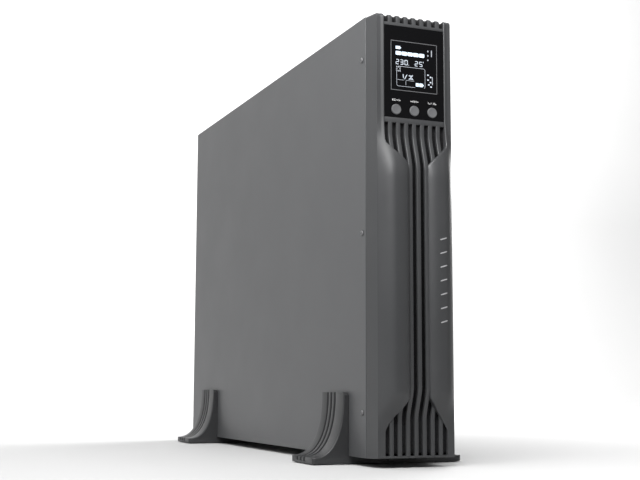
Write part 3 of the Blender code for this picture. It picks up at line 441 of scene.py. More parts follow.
def keep(node, material, width):
    """A CAD node shown as it is, with its finish and its edges broken."""
    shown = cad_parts[node]
    mesh = shown.data
    mesh.materials.clear()
    mesh.materials.append(material)
    if "custom_normal" in mesh.attributes:
        mesh.attributes.remove(mesh.attributes["custom_normal"])
    mesh.shade_smooth()
    shown.modifiers.new("Weld", "WELD").merge_threshold = 0.01 * MM
    break_edges(shown, width)
    shown.modifiers.new("Sharp", "EDGE_SPLIT").split_angle = SHARP_ANGLE
    shown.modifiers.new("Flat faces", "WEIGHTED_NORMAL")


KEPT = (  # finish, width of the broken edges in mm, nodes
    (COATED, 0.5, ("side_cover", "chassis")),
    (COATED, 0.3, ("slot_cover", "battery_door")),
    (COATED, 0.25, ("front_frame",)),
    (COATED, 0.2, ("rear_panel",)),
    (GLOSS, 0.35, ("display_window",)),
    (SCREEN, 0.3, ("lcd_module",)),
    (BOARD, 0.1, ("display_board", "power_board")),
    (BLACK, 0.35, ("upper_outlets", "lower_outlets", "large_outlet", "mains_inlet")),
    (BLACK, 0.3, ("input_breaker", "upper_fan_housing", "lower_fan_housing")),
    (BLACK, 1.0, ("charger_transformer",)),
    (ZINC, 0.3, ("battery_tray",)),
    (ZINC, 0.25, ("serial_port",)),
    (ZINC, 0.2, ("usb_port", "surge_port")),
    (TERMINAL, 0.25, ("shutdown_terminal",)),
    (ALUMINIUM, 0.3, ("upper_heat_sink", "lower_heat_sink")),
    (RED, 0.5, ("battery_plug",)),
    (RED, 0.4, ("battery_socket",)),
    (RED, 0.35, ("battery_port",)),
)
for finish, edge_width, kept_nodes in KEPT:
    for kept_node in kept_nodes:
        keep(kept_node, finish, edge_width * MM)


# ---------------------------------------------------------------- bezel shell

BEZEL_HALF = 41.1 * MM
BEZEL_TOP = 437.6 * MM
BEZEL_BOTTOM = 0.7 * MM
TOP_RADIUS = 4.5 * MM
TOP_CORNER = 2 * MM
BOTTOM_RADIUS = 0.6 * MM
WALL = 3 * MM
RIB_LIFT = 8.5 * MM
RIB_RISE = (39 * MM, 67 * MM)
RIB_FALL = (281 * MM, 315 * MM)
CROWN_X = 26 * MM
SHOULDER_FALL = 4.2 * MM
SHOULDER_POWER = 3.4
BULGE_RISE = (30 * MM, 65 * MM)
BULGE_FALL = (270 * MM, 336 * MM)
CHANNEL_HALF = 10.4 * MM
FAN_HALF = 33.3 * MM
FAN_CLOSE = (26 * MM, 59 * MM)
FAN_OPEN = (284 * MM, 307 * MM)
FAN_EDGE = 1.2 * MM
LIP_LIFT = 1 * MM
LIP_RISE = (300 * MM, 330 * MM)
LIP_END = 37.7 * MM
SLOT_COUNT = 8
SLOT_PITCH = 8.83 * MM
SLOT_WIDTH = 4.5 * MM
SLOT_TOP = 327 * MM
SLOT_BOTTOM = 2.8 * MM
RIB_HALF = (SLOT_PITCH - SLOT_WIDTH) / 2
RIB_DEPTH = 3 * MM
RIB_ROUND = 0.7 * MM
RIB_OVERLAP = 0.4 * MM
RIB_TUCK = 2.2 * MM
RIB_STEPS = 130
NOTCH_BOTTOM = 429 * MM
NOTCH_DEPTH = 8 * MM
LINER_THICK = 1.2 * MM
LINER_GAP = 0.05 * MM
# The sheets of painted shade on the notch walls: their inset and how far below the top they stop.
SHADE_SHEET_INSET = 0.4 * MM
SHADE_SHEET_DROP = 2.2 * MM
CLEARANCE = 0.3 * MM
POCKET = (height_of(WINDOW_LOW.z) - CLEARANCE, height_of(WINDOW_HIGH.z) + CLEARANCE)
LEDGE_HOLE = 30.5 * MM
PEG_X = 36.5 * MM
PEG_HEIGHTS = (8.5 * MM, 424 * MM)
SEAM_GAP = 0.6 * MM
SIDE_SHARES = (0.02, 0.2, 0.6, 0.97, 1.0)  # of the way from the front surface to the seam
SLOPE_STEPS = 6
PILLOW_STEPS = 22


def share_of(value, ends):
    return min(max((value - ends[0]) / (ends[1] - ends[0]), 0.0), 1.0)


def eased(value, ends):
    """Nought before the first end, one after the second, with soft corners between."""
    share = share_of(value, ends)
    return (share + smooth(share)) / 2


def rib_lift(height):
    """How far the ribs stand ahead of the display at this height."""
    return RIB_LIFT * eased(height, RIB_RISE) * (1 - eased(height, RIB_FALL))


def fan_half(height):
    """Half width of the ribbed field, which opens like a funnel at both ends."""
    wide = max(eased(height, FAN_OPEN), 1 - eased(height, FAN_CLOSE))
    return CHANNEL_HALF + (FAN_HALF - CHANNEL_HALF) * wide


def wing_lift(across, height):
    """Pillow-shaped wing that flattens out at both ends, with a lip beside the display."""
    bulge = smooth(share_of(height, BULGE_RISE)) * (1 - smooth(share_of(height, BULGE_FALL)))
    if across > CROWN_X:
        pillow = CROWN_LIFT * (1 - ((across - CROWN_X) / (BEZEL_HALF - CROWN_X)) ** 2)
    else:
        inward = (CROWN_X - across) / (CROWN_X - CHANNEL_HALF)
        pillow = CROWN_LIFT - SHOULDER_FALL * inward**SHOULDER_POWER
    beside = 1 - smooth(share_of(across, (FAN_HALF, LIP_END)))
    return pillow * bulge + LIP_LIFT * smooth(share_of(height, LIP_RISE)) * beside


def round_drop(over, radius):
    over = min(max(over, 0.0), radius)
    return radius - math.sqrt(radius**2 - over**2)


def front_lift(across, height):
    """The whole front surface, stepping from the ribbed field up to the wing."""
    across = min(abs(across), BEZEL_HALF)
    share = share_of(across, (fan_half(height), fan_half(height) + FAN_EDGE))
    shoulder = math.sqrt(1 - (1 - share) ** 2)
    lift = rib_lift(height) * (1 - shoulder) + wing_lift(across, height) * shoulder
    lift -= round_drop(height - (BEZEL_TOP - TOP_RADIUS), TOP_RADIUS)
    return lift - round_drop(BEZEL_BOTTOM + BOTTOM_RADIUS - height, BOTTOM_RADIUS)


def lining_lift(across, height):
    """The inside: the lowest front surface within a wall's reach, less the wall."""
    reach = (-WALL, 0.0, WALL)
    return min(front_lift(across + x, height + z) for x in reach for z in reach) - WALL


def wing_columns(height):
    """Distances across of one wing, from the ribbed field to the side."""
    inner = fan_half(height)
    outer = inner + FAN_EDGE
    columns = []
    for step in range(SLOPE_STEPS + 1):
        columns.append(inner + FAN_EDGE * (1 - math.cos(math.pi / 2 * step / SLOPE_STEPS)))
    for step in range(1, PILLOW_STEPS + 1):
        columns.append(outer + (BEZEL_HALF - outer) * step / PILLOW_STEPS)
    return columns


def shell_rows():
    """Heights of the sections, close together on the rounded ends."""
    body_low, body_high = BEZEL_BOTTOM + BOTTOM_RADIUS, BEZEL_TOP - TOP_RADIUS
    rows = [BEZEL_BOTTOM + BOTTOM_RADIUS * (1 - math.cos(math.radians(turn))) for turn in (0, 35, 65)]
    steps = round((body_high - body_low) / (2.5 * MM))
    rows += [body_low + (body_high - body_low) * step / steps for step in range(steps + 1)]
    rows += [body_high + TOP_RADIUS * math.sin(math.radians(turn)) for turn in range(10, 91, 10)]
    return rows


def wing(side):
    """One wing with its sides back to the seam and its wall thickness."""
    builder = bmesh.new()
    outside, lining = [], []
    span = BEZEL_TOP - BEZEL_BOTTOM
    for height in shell_rows():
        share = (height - BEZEL_BOTTOM) / span
        columns = wing_columns(height)
        inner = columns[0]
        narrow = (BEZEL_HALF - WALL - inner) / (BEZEL_HALF - inner)
        inner_height = BEZEL_BOTTOM + WALL + (span - 2 * WALL) * share
        pinch = round_drop(height - (BEZEL_TOP - TOP_CORNER), TOP_CORNER)
        squeeze = 1 - 2 * pinch / (BEZEL_HALF - inner)
        skin, back = [], []
        for across in columns:
            x = inner + pinch + (across - inner) * squeeze
            skin.append(builder.verts.new(at(side * x, front_lift(across, height), height)))
            reach = inner + (across - inner) * narrow
            point = at(side * reach, lining_lift(reach, inner_height), inner_height)
            back.append(builder.verts.new(point))
        outside.append(skin)
        lining.append(back)
    edges = []
    for rows, inset in ((outside, 0.0), (lining, WALL)):
        quads(builder, rows)
        path = border(rows)
        widen = (HALF_WIDTH - inset) / (BEZEL_HALF - inset)
        rings = [path]
        for part in SIDE_SHARES:
            ring = []
            for vertex in path:
                share = (height_of(vertex.co.z) - BEZEL_BOTTOM - inset) / (span - 2 * inset)
                height = inset + (CASE_HEIGHT - 2 * inset) * share
                seam = at(vertex.co.x * widen, SEAM_LIFT + SEAM_GAP, height)
                point = vertex.co.lerp(seam, part)
                if part == 1.0:
                    point.x -= math.copysign(SEAM_GAP, point.x)
                ring.append(builder.verts.new(point))
            rings.append(ring)
        quads(builder, rings)
        edges.append(rings)
    quads(builder, [edges[0][-1], edges[1][-1]])
    quads(builder, [[row[0] for row in outside], [row[0] for row in lining]])
    for end in (0, -1):
        quads(builder, [[ring[end] for ring in edges[0]], [ring[end] for ring in edges[1]]])
    return builder


def rib_section(lift):
    """Closed outline of a rib: (across, lift), with its two front edges rounded."""
    points = [(-RIB_HALF, lift - RIB_DEPTH)]
    for cosine, sine in quarter(4):
        points.append((-RIB_HALF + RIB_ROUND * (1 - cosine), lift - RIB_ROUND * (1 - sine)))
    return points + [(-across, up) for across, up in reversed(points)]


def rib(centre):
    """A rib between two slots, as long as the field is wide enough for it."""
    low, high = SLOT_BOTTOM - RIB_OVERLAP, SLOT_TOP + RIB_OVERLAP
    spans = [[]]
    for step in range(RIB_STEPS + 1):
        height = low + (high - low) * step / RIB_STEPS
        if fan_half(height) > abs(centre) - RIB_HALF - RIB_TUCK:
            section = rib_section(rib_lift(height))
            spans[-1].append([at(centre + across, lift, height) for across, lift in section])
        elif spans[-1]:
            spans.append([])
    return merged([tube(span) for span in spans if len(span) > 1])


def slot_centres():
    return [(index - (SLOT_COUNT - 1) / 2) * SLOT_PITCH for index in range(SLOT_COUNT)]


def profile_bar(points, width=0.4 * MM, segments=2, cutters=()):
    """A bar across the field with the given (lift, height) outline and rounded edges."""
    outline = [(FACE_Y - lift, CASE_BOTTOM + height) for lift, height in points]
    return carved(prism(outline, -FAN_HALF, FAN_HALF), cutters, width, segments)


def top_rail():
    """Strip over the display, rounded back to the case and notched between the ribs' ends."""
    points = [(0, POCKET[1]), (0, BEZEL_TOP - TOP_RADIUS)]
    for cosine, sine in quarter(6)[1:]:
        points.append((-TOP_RADIUS * (1 - cosine), BEZEL_TOP - TOP_RADIUS * (1 - sine)))
    points += [(SEAM_LIFT, CASE_HEIGHT), (SEAM_LIFT, CASE_HEIGHT - WALL)]
    points += [(-NOTCH_DEPTH - WALL, BEZEL_TOP - WALL), (-NOTCH_DEPTH - WALL, NOTCH_BOTTOM - WALL)]
    points += [(-WALL, NOTCH_BOTTOM - WALL), (-WALL, POCKET[1])]
    half, base = SLOT_WIDTH / 2, CASE_BOTTOM + (BEZEL_TOP - TOP_CORNER)
    arc = [(half + TOP_CORNER * (1 - cosine), base + TOP_CORNER * sine) for cosine, sine in quarter(6)]
    arc = [(half, CASE_BOTTOM + NOTCH_BOTTOM), *arc, (arc[-1][0], CASE_BOTTOM + CASE_HEIGHT + 5 * MM)]
    notches = []
    for centre in slot_centres():
        outline = [(centre + x, z) for x, z in arc] + [(centre - x, z) for x, z in reversed(arc)]
        notches.append(prism(outline, FACE_Y - 5 * MM, FACE_Y + NOTCH_DEPTH, "Y"))
    return profile_bar(points, cutters=notches)


def line_notches_with_foam_and_shade():
    """Dark foam sheets in the notches: the one behind stands for the filter foam seen through the notch, and
    the two on each notch's walls are painted shade.
    """
    solids = []
    half = SLOT_WIDTH / 2
    low = NOTCH_BOTTOM + LINER_GAP
    front = LINER_THICK - NOTCH_DEPTH
    for centre in slot_centres():
        reach = half - LINER_GAP
        corners = at(centre - reach, front, low), at(centre + reach, -NOTCH_DEPTH, BEZEL_TOP - LINER_THICK)
        solids.append(rounded_cuboid(*corners, 0.3 * MM))
        # Painted shade: thin dark sheets on both walls of the notch, so that the notch looks dark.
        for side in (-1, 1):
            left, right = sorted(centre + side * (half - inset) for inset in (LINER_GAP, SHADE_SHEET_INSET))
            corners = at(left, -0.9 * MM, low), at(right, front, BEZEL_TOP - SHADE_SHEET_DROP)
            solids.append(rounded_cuboid(*corners, 0.12 * MM))
    piece("notch_foam_and_painted_shade", merged(solids), FOAM, "bezel")


def cross_bar():
    """Strip between the slots and the display."""
    return profile_bar([(-WALL, SLOT_TOP), (0, SLOT_TOP), (0, POCKET[0]), (-WALL, POCKET[0])], segments=3)


def bottom_lip():
    """Strip under the slots and the underside back to the case."""
    points = [(0, SLOT_BOTTOM), (0, BEZEL_BOTTOM + BOTTOM_RADIUS), (-BOTTOM_RADIUS, BEZEL_BOTTOM)]
    return profile_bar(points + [(SEAM_LIFT, 0), (SEAM_LIFT, SLOT_BOTTOM)], 0.25 * MM)


def window_ledge():
    """Frame behind the display window that it rests on."""
    front, back = WINDOW_HIGH.y + CLEARANCE, WINDOW_HIGH.y + CLEARANCE + WALL
    low, high = WINDOW_LOW.z, WINDOW_HIGH.z
    ring = cuboid((-FAN_HALF, front, low - CLEARANCE), (FAN_HALF, back, high + CLEARANCE))
    hole = cuboid((-LEDGE_HOLE, front - MM, low + 1.2 * MM), (LEDGE_HOLE, back + MM, high - 3 * MM))
    return carved(ring, [hole], 0.3 * MM)


def pegs():
    """Four pegs that hold the bezel to the front frame."""
    made = []
    for side in (-1, 1):
        for height in PEG_HEIGHTS:
            start = at(side * PEG_X, -2.5 * MM, height)
            end = SEAM_Y + 6 * MM - start.y
            profile = [(2.0 * MM, 0), (2.0 * MM, end - 1.2 * MM), (1.3 * MM, end), (0, end)]
            made.append(lathe(profile, start, "Y", 20))
    return made


def bezel():
    """The whole moulding: wings, ribs, strips, ledge and pegs."""
    solids = [wing(-1), wing(1), top_rail(), cross_bar(), bottom_lip(), window_ledge(), *pegs()]
    solids += [rib((index - 3) * SLOT_PITCH) for index in range(SLOT_COUNT - 1)]
    piece("bezel_shell", merged(solids), BEZEL, "bezel", ("bezel",), 28)


DASH_SPAN = (20.5 * MM, 28 * MM)
DASH_HEIGHTS = (130 * MM, 211 * MM)
DASH_COUNT = 7
DASH_THICK = 1.3 * MM
DASH_SLANT = 2.2 * MM
DASH_PROUD = 0.15 * MM
DASH_SINK = 0.3 * MM


def trim_dashes():
    """Plain slanting dashes inlaid down the right wing, following its surface."""
    solids = []
    for index in range(DASH_COUNT):
        low = DASH_HEIGHTS[0] + (DASH_HEIGHTS[1] - DASH_HEIGHTS[0]) * index / (DASH_COUNT - 1)
        rings = []
        for step in range(9):
            share = step / 8
            across = DASH_SPAN[0] + (DASH_SPAN[1] - DASH_SPAN[0]) * share
            half = DASH_THICK / 2 * math.sqrt(max(1 - (2 * share - 1) ** 6, 0.1))
            ring = []
            for cosine, sine in circle(10):
                height = low + DASH_SLANT * share + half * sine
                proud = DASH_PROUD if cosine > 0 else -DASH_SINK
                lift = front_lift(across, height) + proud * abs(cosine) ** 0.5
                ring.append(at(across, lift, height))
            rings.append(ring)
        solids.append(tube(rings))
    piece("wing_trim_dashes", merged(solids), SILVER, "bezel")


# ---------------------------------------------------------------- display

SCREEN_HALF = 25.8 * MM
SCREEN_SPAN = (360.0 * MM, 410.8 * MM)
MARK_PROUD = 0.06 * MM
SEGMENTS = {  # of a seven-segment numeral: left, upper, right and lower side
    "a": (0.15, 0.0, 0.85, 0.12),
    "b": (0.82, 0.06, 1.0, 0.47),
    "c": (0.82, 0.53, 1.0, 0.94),
    "d": (0.15, 0.88, 0.85, 1.0),
    "e": (0.0, 0.53, 0.18, 0.94),
    "f": (0.0, 0.06, 0.18, 0.47),
    "g": (0.15, 0.44, 0.85, 0.56),
}
NUMERALS = {0: "abcdef", 2: "abged", 3: "abgcd", 5: "afgcd"}


def rounded_outline(left, low, right, top, radius, steps=4):
    """Corners of a rounded rectangle, anticlockwise from its right side's lower end."""
    points = []
    for x, z, first in ((right, low, -1), (right, top, 0), (left, top, 1), (left, low, 2)):
        centre_x = x - math.copysign(radius, x - (left + right) / 2)
        centre_z = z - math.copysign(radius, z - (low + top) / 2)
        for step in range(steps + 1):
            angle = math.pi / 2 * (first + step / steps)
            points.append((centre_x + radius * math.cos(angle), centre_z + radius * math.sin(angle)))
    return points


class Marks:
    """Thin raised marks on the display's face, placed by shares across and down a box on it."""

    def __init__(self, left, top, width, height):
        self.left, self.top, self.width, self.height = left, top, width, height
        self.solids = []

    def sides(self, x0, down0, x1, down1):
        """Left, lower, right and upper side."""
        left, right = (self.left + across * self.width for across in (x0, x1))
        top, low = (self.top - down * self.height for down in (down0, down1))
        return left, low, right, top

    def fill(self, outline):
        points = [(x, CASE_BOTTOM + z) for x, z in outline]
        self.solids.append(prism(points, FACE_Y - MARK_PROUD, FACE_Y, "Y"))

    def bar(self, *span):
        left, low, right, top = self.sides(*span)
        self.solids.append(cuboid(at(left, 0, low), at(right, MARK_PROUD, top)))

    def block(self, x0, down0, x1, down1, radius):
        """A bar whose corners are rounded by a radius in mm."""
        self.fill(rounded_outline(*self.sides(x0, down0, x1, down1), radius * MM))

    def outline(self, span, line, radius, start=0, end=None):
        """A line round a rounded rectangle, or with a start and an end part of the way round."""
        left, low, right, top = self.sides(*span)
        outer = rounded_outline(left, low, right, top, radius)
        inside = max(radius - line, 0.05 * MM)
        inner = rounded_outline(left + line, low + line, right - line, top - line, inside)
        pairs = list(zip(outer, inner))
        pairs = pairs + pairs[:1] if end is None else pairs[start:end]
        rings = []
        for (x, z), (across, up) in pairs:
            rings.append([at(x, 0, z), at(across, 0, up), at(across, MARK_PROUD, up), at(x, MARK_PROUD, z)])
        self.solids.append(tube(rings, cap=end is not None))

    def slash(self, x0, down0, x1, down1, width):
        """A slanting stroke of the given width across."""
        start_x, end_z, end_x, start_z = self.sides(x0, down0, x1, down1)
        wide = width * self.width
        self.fill([(start_x, start_z), (start_x + wide, start_z), (end_x + wide, end_z), (end_x, end_z)])

    def digit(self, value, x0, down0, x1, down1):
        wide, tall = x1 - x0, down1 - down0
        for name in NUMERALS[value]:
            left, upper, right, lower = SEGMENTS[name]
            self.bar(x0 + left * wide, down0 + upper * tall, x0 + right * wide, down0 + lower * tall)


def screen_marks():
    """What the lit screen shows: charge bar, readings and an energy flow, all generic."""
    corner = (-SCREEN_HALF, SCREEN_SPAN[1], 2 * SCREEN_HALF, SCREEN_SPAN[1] - SCREEN_SPAN[0])
    frame_line, bright, pale, dim = (Marks(*corner) for _ in range(4))
    frame_line.outline((0, 0, 1, 1), 0.6 * MM, 0.3 * MM)
    for step in range(5):
        start = 0.104 + step * 0.126
        bright.block(start, 0.212, start + 0.117, 0.288, 0.9)
    for block in (
        (0.105, 0.11, 0.2, 0.17, 0.5), (0.2, 0.125, 0.218, 0.155, 0.2), (0.535, 0.815, 0.6, 0.885, 0.4),
        (0.61, 0.815, 0.685, 0.885, 0.4), (0.69, 0.835, 0.705, 0.865, 0.2),
    ):
        bright.block(*block)
    for value, start in ((2, 0.106), (3, 0.2), (0, 0.294), (2, 0.515), (5, 0.612)):
        pale.digit(value, start, 0.375, start + 0.068, 0.478)
    pale.block(0.376, 0.465, 0.388, 0.478, 0.2)
    pale.block(0.694, 0.37, 0.706, 0.395, 0.2)
    for start, end in ((1, 11), (14, 20)):
        dim.outline((0.12, 0.51, 0.74, 0.915), 0.4 * MM, 2.2 * MM, start, end)
    for bar in (
        (0.16, 0.907, 0.52, 0.915), (0.14, 0.78, 0.28, 0.788),
        (0.32, 0.78, 0.5, 0.788), (0.316, 0.8, 0.324, 0.88),
    ):
        dim.bar(*bar)
    for column in range(3):
        for row in range(3):
            if (column, row) != (1, 1):
                x, down = 0.115 + column * 0.035, 0.515 + row * 0.04
                dim.block(x, down, x + 0.022, down + 0.026, 0.2)
    for stroke in (
        (0.262, 0.745, 0.255, 0.665, 0.014), (0.285, 0.765, 0.335, 0.67, 0.016),
        (0.38, 0.765, 0.46, 0.665, 0.016), (0.4, 0.675, 0.47, 0.765, 0.016),
    ):
        pale.slash(*stroke)
    pale.bar(0.385, 0.68, 0.47, 0.694)
    pale.bar(0.385, 0.742, 0.47, 0.756)
    for down in (0.13, 0.22, 0.31):
        dim.block(0.79, down, 0.815, down + 0.03, 0.3)
    dim.block(0.872, 0.12, 0.892, 0.25, 0.3)
    dim.block(0.89, 0.66, 0.905, 0.82, 0.3)
    for x, down in ((0.785, 0.615), (0.84, 0.655), (0.785, 0.715), (0.84, 0.76), (0.8, 0.81), (0.85, 0.85)):
        pale.block(x, down, x + 0.036, down + 0.026, 0.3)
    looks = {"frame_line": TRIM_LINE, "bright_marks": LIT, "pale_marks": PALE, "dim_marks": DIM}
    for (name, look), marks in zip(looks.items(), (frame_line, bright, pale, dim)):
        piece(f"screen_{name}", merged(marks.solids), look, "bezel")


LABEL_HEIGHT = 350.0 * MM
LABELS = {  # (start, end, lower edge, upper edge) of each stroke in mm about the button's centre
    "select_button": ((-4.4, -3.5, -0.9, 0.9), (-2.9, -0.7, -0.9, -0.4), (-2.9, -0.7, 0.4, 0.9),
                      (-0.1, 2.1, -0.3, 0.3), (2.7, 3.1, -0.9, 0.9), (3.6, 4.4, -0.9, 0.3)),
    "mute_button": ((-4.4, -2.6, -0.3, 0.3), (-2.0, -1.5, -0.9, 0.9), (-0.9, 1.1, 0.3, 0.9),
                    (-0.9, 1.1, -0.9, -0.5), (1.7, 2.2, -0.9, 0.9), (2.8, 4.4, -0.3, 0.3)),
    "power_button": ((-4.6, -4.1, -0.9, 0.9), (-3.5, -1.9, -0.9, -0.3), (-1.3, -0.8, -0.4, 0.9),
                     (1.0, 1.5, -0.9, 0.9), (2.1, 3.3, 0.3, 0.9), (2.1, 4.6, -0.9, -0.3)),
}


def button_marks():
    """Rows of small strokes above the buttons where a label stands, without any letters."""
    marks = Marks(0, LABEL_HEIGHT, MM, MM)
    for name, strokes in LABELS.items():
        centre = place_of(name)[2].x / MM
        for start, end, lower, upper in strokes:
            marks.block(centre + start, -upper, centre + end, -lower, 0.15)
    piece("button_symbols", merged(marks.solids), PRINT, "bezel")


BUTTON_SKIRT = 0.7 * MM
BUTTON_ROUND = 0.7 * MM


def buttons():
    """Round caps with a rounded rim and a shallow dish."""
    for name in LABELS:
        low, high, centre = place_of(name)
        radius = (high.x - low.x) / 2 - BUTTON_SKIRT
        skirt = radius + BUTTON_SKIRT
        depth = high.y - low.y
        profile = in_mm((0, 0.35), (2.0, 0.3), (3.6, 0.12), (4.3, 0.02))
        for cosine, sine in quarter(5):
            profile.append((radius - BUTTON_ROUND * (1 - sine), BUTTON_ROUND * (1 - cosine)))
        profile += [(radius, 3.0 * MM), (skirt, 3.1 * MM), (skirt, 4.2 * MM)]
        profile += [(radius, 4.3 * MM), (radius, depth), (0, depth)]
        cap = lathe(profile, (centre.x, low.y, centre.z), "Y", 40)
        piece(f"{name}_cap", cap, BUTTON, name, (name,))


def display():
    """Screen, labels, buttons and the parts on the board behind them."""
    screen_marks()
    button_marks()
    buttons()
    low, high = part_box("display_board")
    chips = []
    for x, z, wide, tall, thick in (
        (-14, 20, 12, 12, 1.6), (8, 24, 16, 8, 2.0), (-6, 48, 7, 7, 1.2), (18, 52, 10, 6, 2.4),
        (-22, 66, 5, 9, 4.0), (4, 66, 22, 6, 5.5),
    ):
        corner = Vector((x * MM, high.y, low.z + z * MM))
        chips.append(rounded_cuboid(corner, corner + Vector((wide, thick, tall)) * MM, 0.25 * MM))
    piece("display_board_chips", merged(chips), BLACK, "bezel")


FILTER_EDGE = 3 * MM
FILTER_PINCH = 0.5 * MM
FILTER_WAVE = 0.12 * MM


def air_filter():
    """Foam sheet with pinched edges and a slight wave over both faces."""
    low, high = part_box("air_filter")
    wide, tall = high.x - low.x, high.z - low.z
    columns, rows = 38, 120
    sheets = []
    for face, sign in ((low.y, 1), (high.y, -1)):
        grid = []
        for row in range(rows + 1):
            v = row / rows
            line = []
            for column in range(columns + 1):
                u = column / columns
                edge = min(min(u, 1 - u) * wide, min(v, 1 - v) * tall)
                inward = FILTER_PINCH * (1 - smooth(edge / FILTER_EDGE))
                wave = FILTER_WAVE * (1 + math.sin(u * 41) * math.sin(v * 97))
                line.append((low.x + wide * u, face + sign * (inward + wave), low.z + tall * v))
            grid.append(line)
        sheets.append(grid)
    piece("filter_foam_sheet", slab(sheets), FOAM, "bezel", ("air_filter",), 60)


# ---------------------------------------------------------------- stand

FOOT_WALL = 5.7 * MM
FOOT_GAP = 0.3 * MM
FOOT_STEPS = 36
TOE_HEIGHT = 7.2 * MM
FOOT_CURVE = 2.35
GROOVE_HALF = 1.95 * MM
GROOVE_PLACES = (22.5 * MM, 31.5 * MM, 40.5 * MM)
GROOVE_WALL = ((-0.45, 0.0), (-0.12, 0.08), (0.0, 0.4), (0.12, 2.4), (0.45, 2.8))  # (along, depth) in mm
CHAMFER = 2.6 * MM
CHAMFER_STEPS = ((0.0, 0.9), (0.2, 0.45), (0.55, 0.12), (1.0, 0.0))  # (share of it, inset in mm)
TOE_NOTCH = 3 * MM


def foot_stations(depth):
    """(distance behind the foot's front face, inset of the outer face, chamfer) down the foot."""
    stations = [(share * CHAMFER, inset * MM, CHAMFER * (1 - share)) for share, inset in CHAMFER_STEPS]
    for middle in GROOVE_PLACES:
        for offset, inset in GROOVE_WALL:
            stations.append((middle - GROOVE_HALF + offset * MM, inset * MM, 0.0))
        for offset, inset in reversed(GROOVE_WALL):
            stations.append((middle + GROOVE_HALF - offset * MM, inset * MM, 0.0))
    for share, inset in reversed(CHAMFER_STEPS):
        stations.append((depth - share * CHAMFER, inset * MM, CHAMFER * (1 - share)))
    return stations


def foot_section(inset, chamfer, reach, top, bottom):
    """Closed outline of a foot: (offset from the case's side, height)."""
    end, crest = reach - chamfer, top - chamfer
    toe, toe_top, bead = end - inset, TOE_HEIGHT - inset, 0.25 * MM
    under = -HALF_WIDTH + FOOT_GAP
    points = [(under, bottom), (FOOT_GAP, bottom), (end - 0.5 * MM, bottom), (end, bottom + 0.5 * MM)]
    points += [(end, TOE_NOTCH), (toe, TOE_NOTCH + 0.01 * MM)]
    points += [(toe, toe_top - 0.8 * MM), (toe - bead, toe_top - bead)]
    for step in range(1, FOOT_STEPS + 1):
        angle = math.pi / 2 * (1 - step / FOOT_STEPS)
        side = math.cos(angle) ** (2 / FOOT_CURVE)
        up = math.sin(angle) ** (2 / FOOT_CURVE) if step < FOOT_STEPS else 0.0
        x = reach - (reach - FOOT_WALL) * side - inset
        z = top - (top - TOE_HEIGHT) * up - inset * (1 - step / FOOT_STEPS)
        points.append((min(x, toe - bead), min(z, crest)))
    points += [(FOOT_WALL - inset - 0.4 * MM, crest), (0.7 * MM, crest), (FOOT_GAP, crest - 0.4 * MM)]
    return points + [(FOOT_GAP, CASE_BOTTOM - FOOT_GAP), (under, CASE_BOTTOM - FOOT_GAP)]


def foot(corner, side):
    """Spreading plastic foot with three grooves over its outer face, and its rubber pad."""
    low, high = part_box(f"{corner}_foot")
    reach = high.x - low.x - HALF_WIDTH + FOOT_GAP
    rings = []
    for back, inset, chamfer in foot_stations(high.y - low.y):
        section = foot_section(inset, chamfer, reach, high.z, low.z)
        rings.append([(side * (HALF_WIDTH + offset), low.y + back, height) for offset, height in section])
    piece(f"{corner}_foot_shell", tube(rings), STAND, "case", (f"{corner}_foot",), 42)
    pad = merged([rounded_cuboid(*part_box(f"{corner}_pad"), 0.35 * MM)])
    piece(f"{corner}_pad_cushion", pad, RUBBER, "case", (f"{corner}_pad",))


def stand():
    for end in ("front", "rear"):
        foot(f"{end}_left", -1)
        foot(f"{end}_right", 1)


# ---------------------------------------------------------------- screws


def cross_cutter(arm, slim, low, high):
    """Plus-shaped cutter of a cross-head recess, along Z."""
    ring = []
    for turn in range(4):
        spin = Matrix.Rotation(math.pi / 2 * turn, 3, "Z")
        ring += [spin @ Vector((x, y, 0)) for x, y in ((arm, -slim), (arm, slim), (slim, slim))]
    return tube([[(point.x, point.y, z) for point in ring] for z in (low, high)])


def pan_head(centre, radius, height, axis, shank=0.0):
    """Low domed screw head with a cross recess; its seat is at the centre."""
    profile = [(0, 0)]
    if shank:
        slim = radius * 0.52
        profile = [(0, -shank), (radius * 0.45, -shank), (slim, -shank + 0.5 * MM), (slim, 0)]
    profile += [(radius * 0.96, 0), (radius, 0.15 * height)]
    for cosine, sine in quarter(5)[1:]:
        profile.append((radius * cosine, height * (0.15 + 0.85 * sine)))
    head = lathe(profile, (0, 0, 0), "Z", 28)
    cut = carved(head, [cross_cutter(radius * 0.55, radius * 0.13, height * 0.35, height * 2)])
    return moved(cut, TURNS[axis], Matrix.Translation(Vector(centre)))


def screws():
    """Three of the side cover and the earth screw."""
    for level in ("lower", "middle", "upper"):
        name = f"cover_screw_{level}"
        low, high, middle = place_of(name)
        seat = Vector((low.x + 1.3 * MM, middle.y, middle.z))
        head = pan_head(seat, 2.9 * MM, 1.3 * MM, "-X", high.x - seat.x)
        piece(f"{name}_head", head, SCREW, "case", (name,))
    low, high, middle = place_of("earth_screw")
    seat = Vector((middle.x, high.y - 3.2 * MM, middle.z))
    solids = []
    for sides, profile in (
        (20, in_mm((0, -9), (1.8, -9), (2, -8), (2, 0.5), (0, 0.5))),
        (6, in_mm((0, 0.8), (4, 0.8), (4, 2.9), (3.6, 3.2), (0, 3.2))),
        (28, in_mm((0, 0), (3.9, 0), (4, 0.3), (3.9, 0.7), (0, 0.7))),
    ):
        solids.append(lathe(profile, seat, "Y", sides))
    piece("earth_screw_hex", merged(solids), PLATED, "case", ("earth_screw",), 25)


# ---------------------------------------------------------------- fans

GUARD_WIRE = 0.85 * MM
GUARD_RINGS = (7, 14, 21, 28, 35, 39.5)
GUARD_REACH = 48 * MM


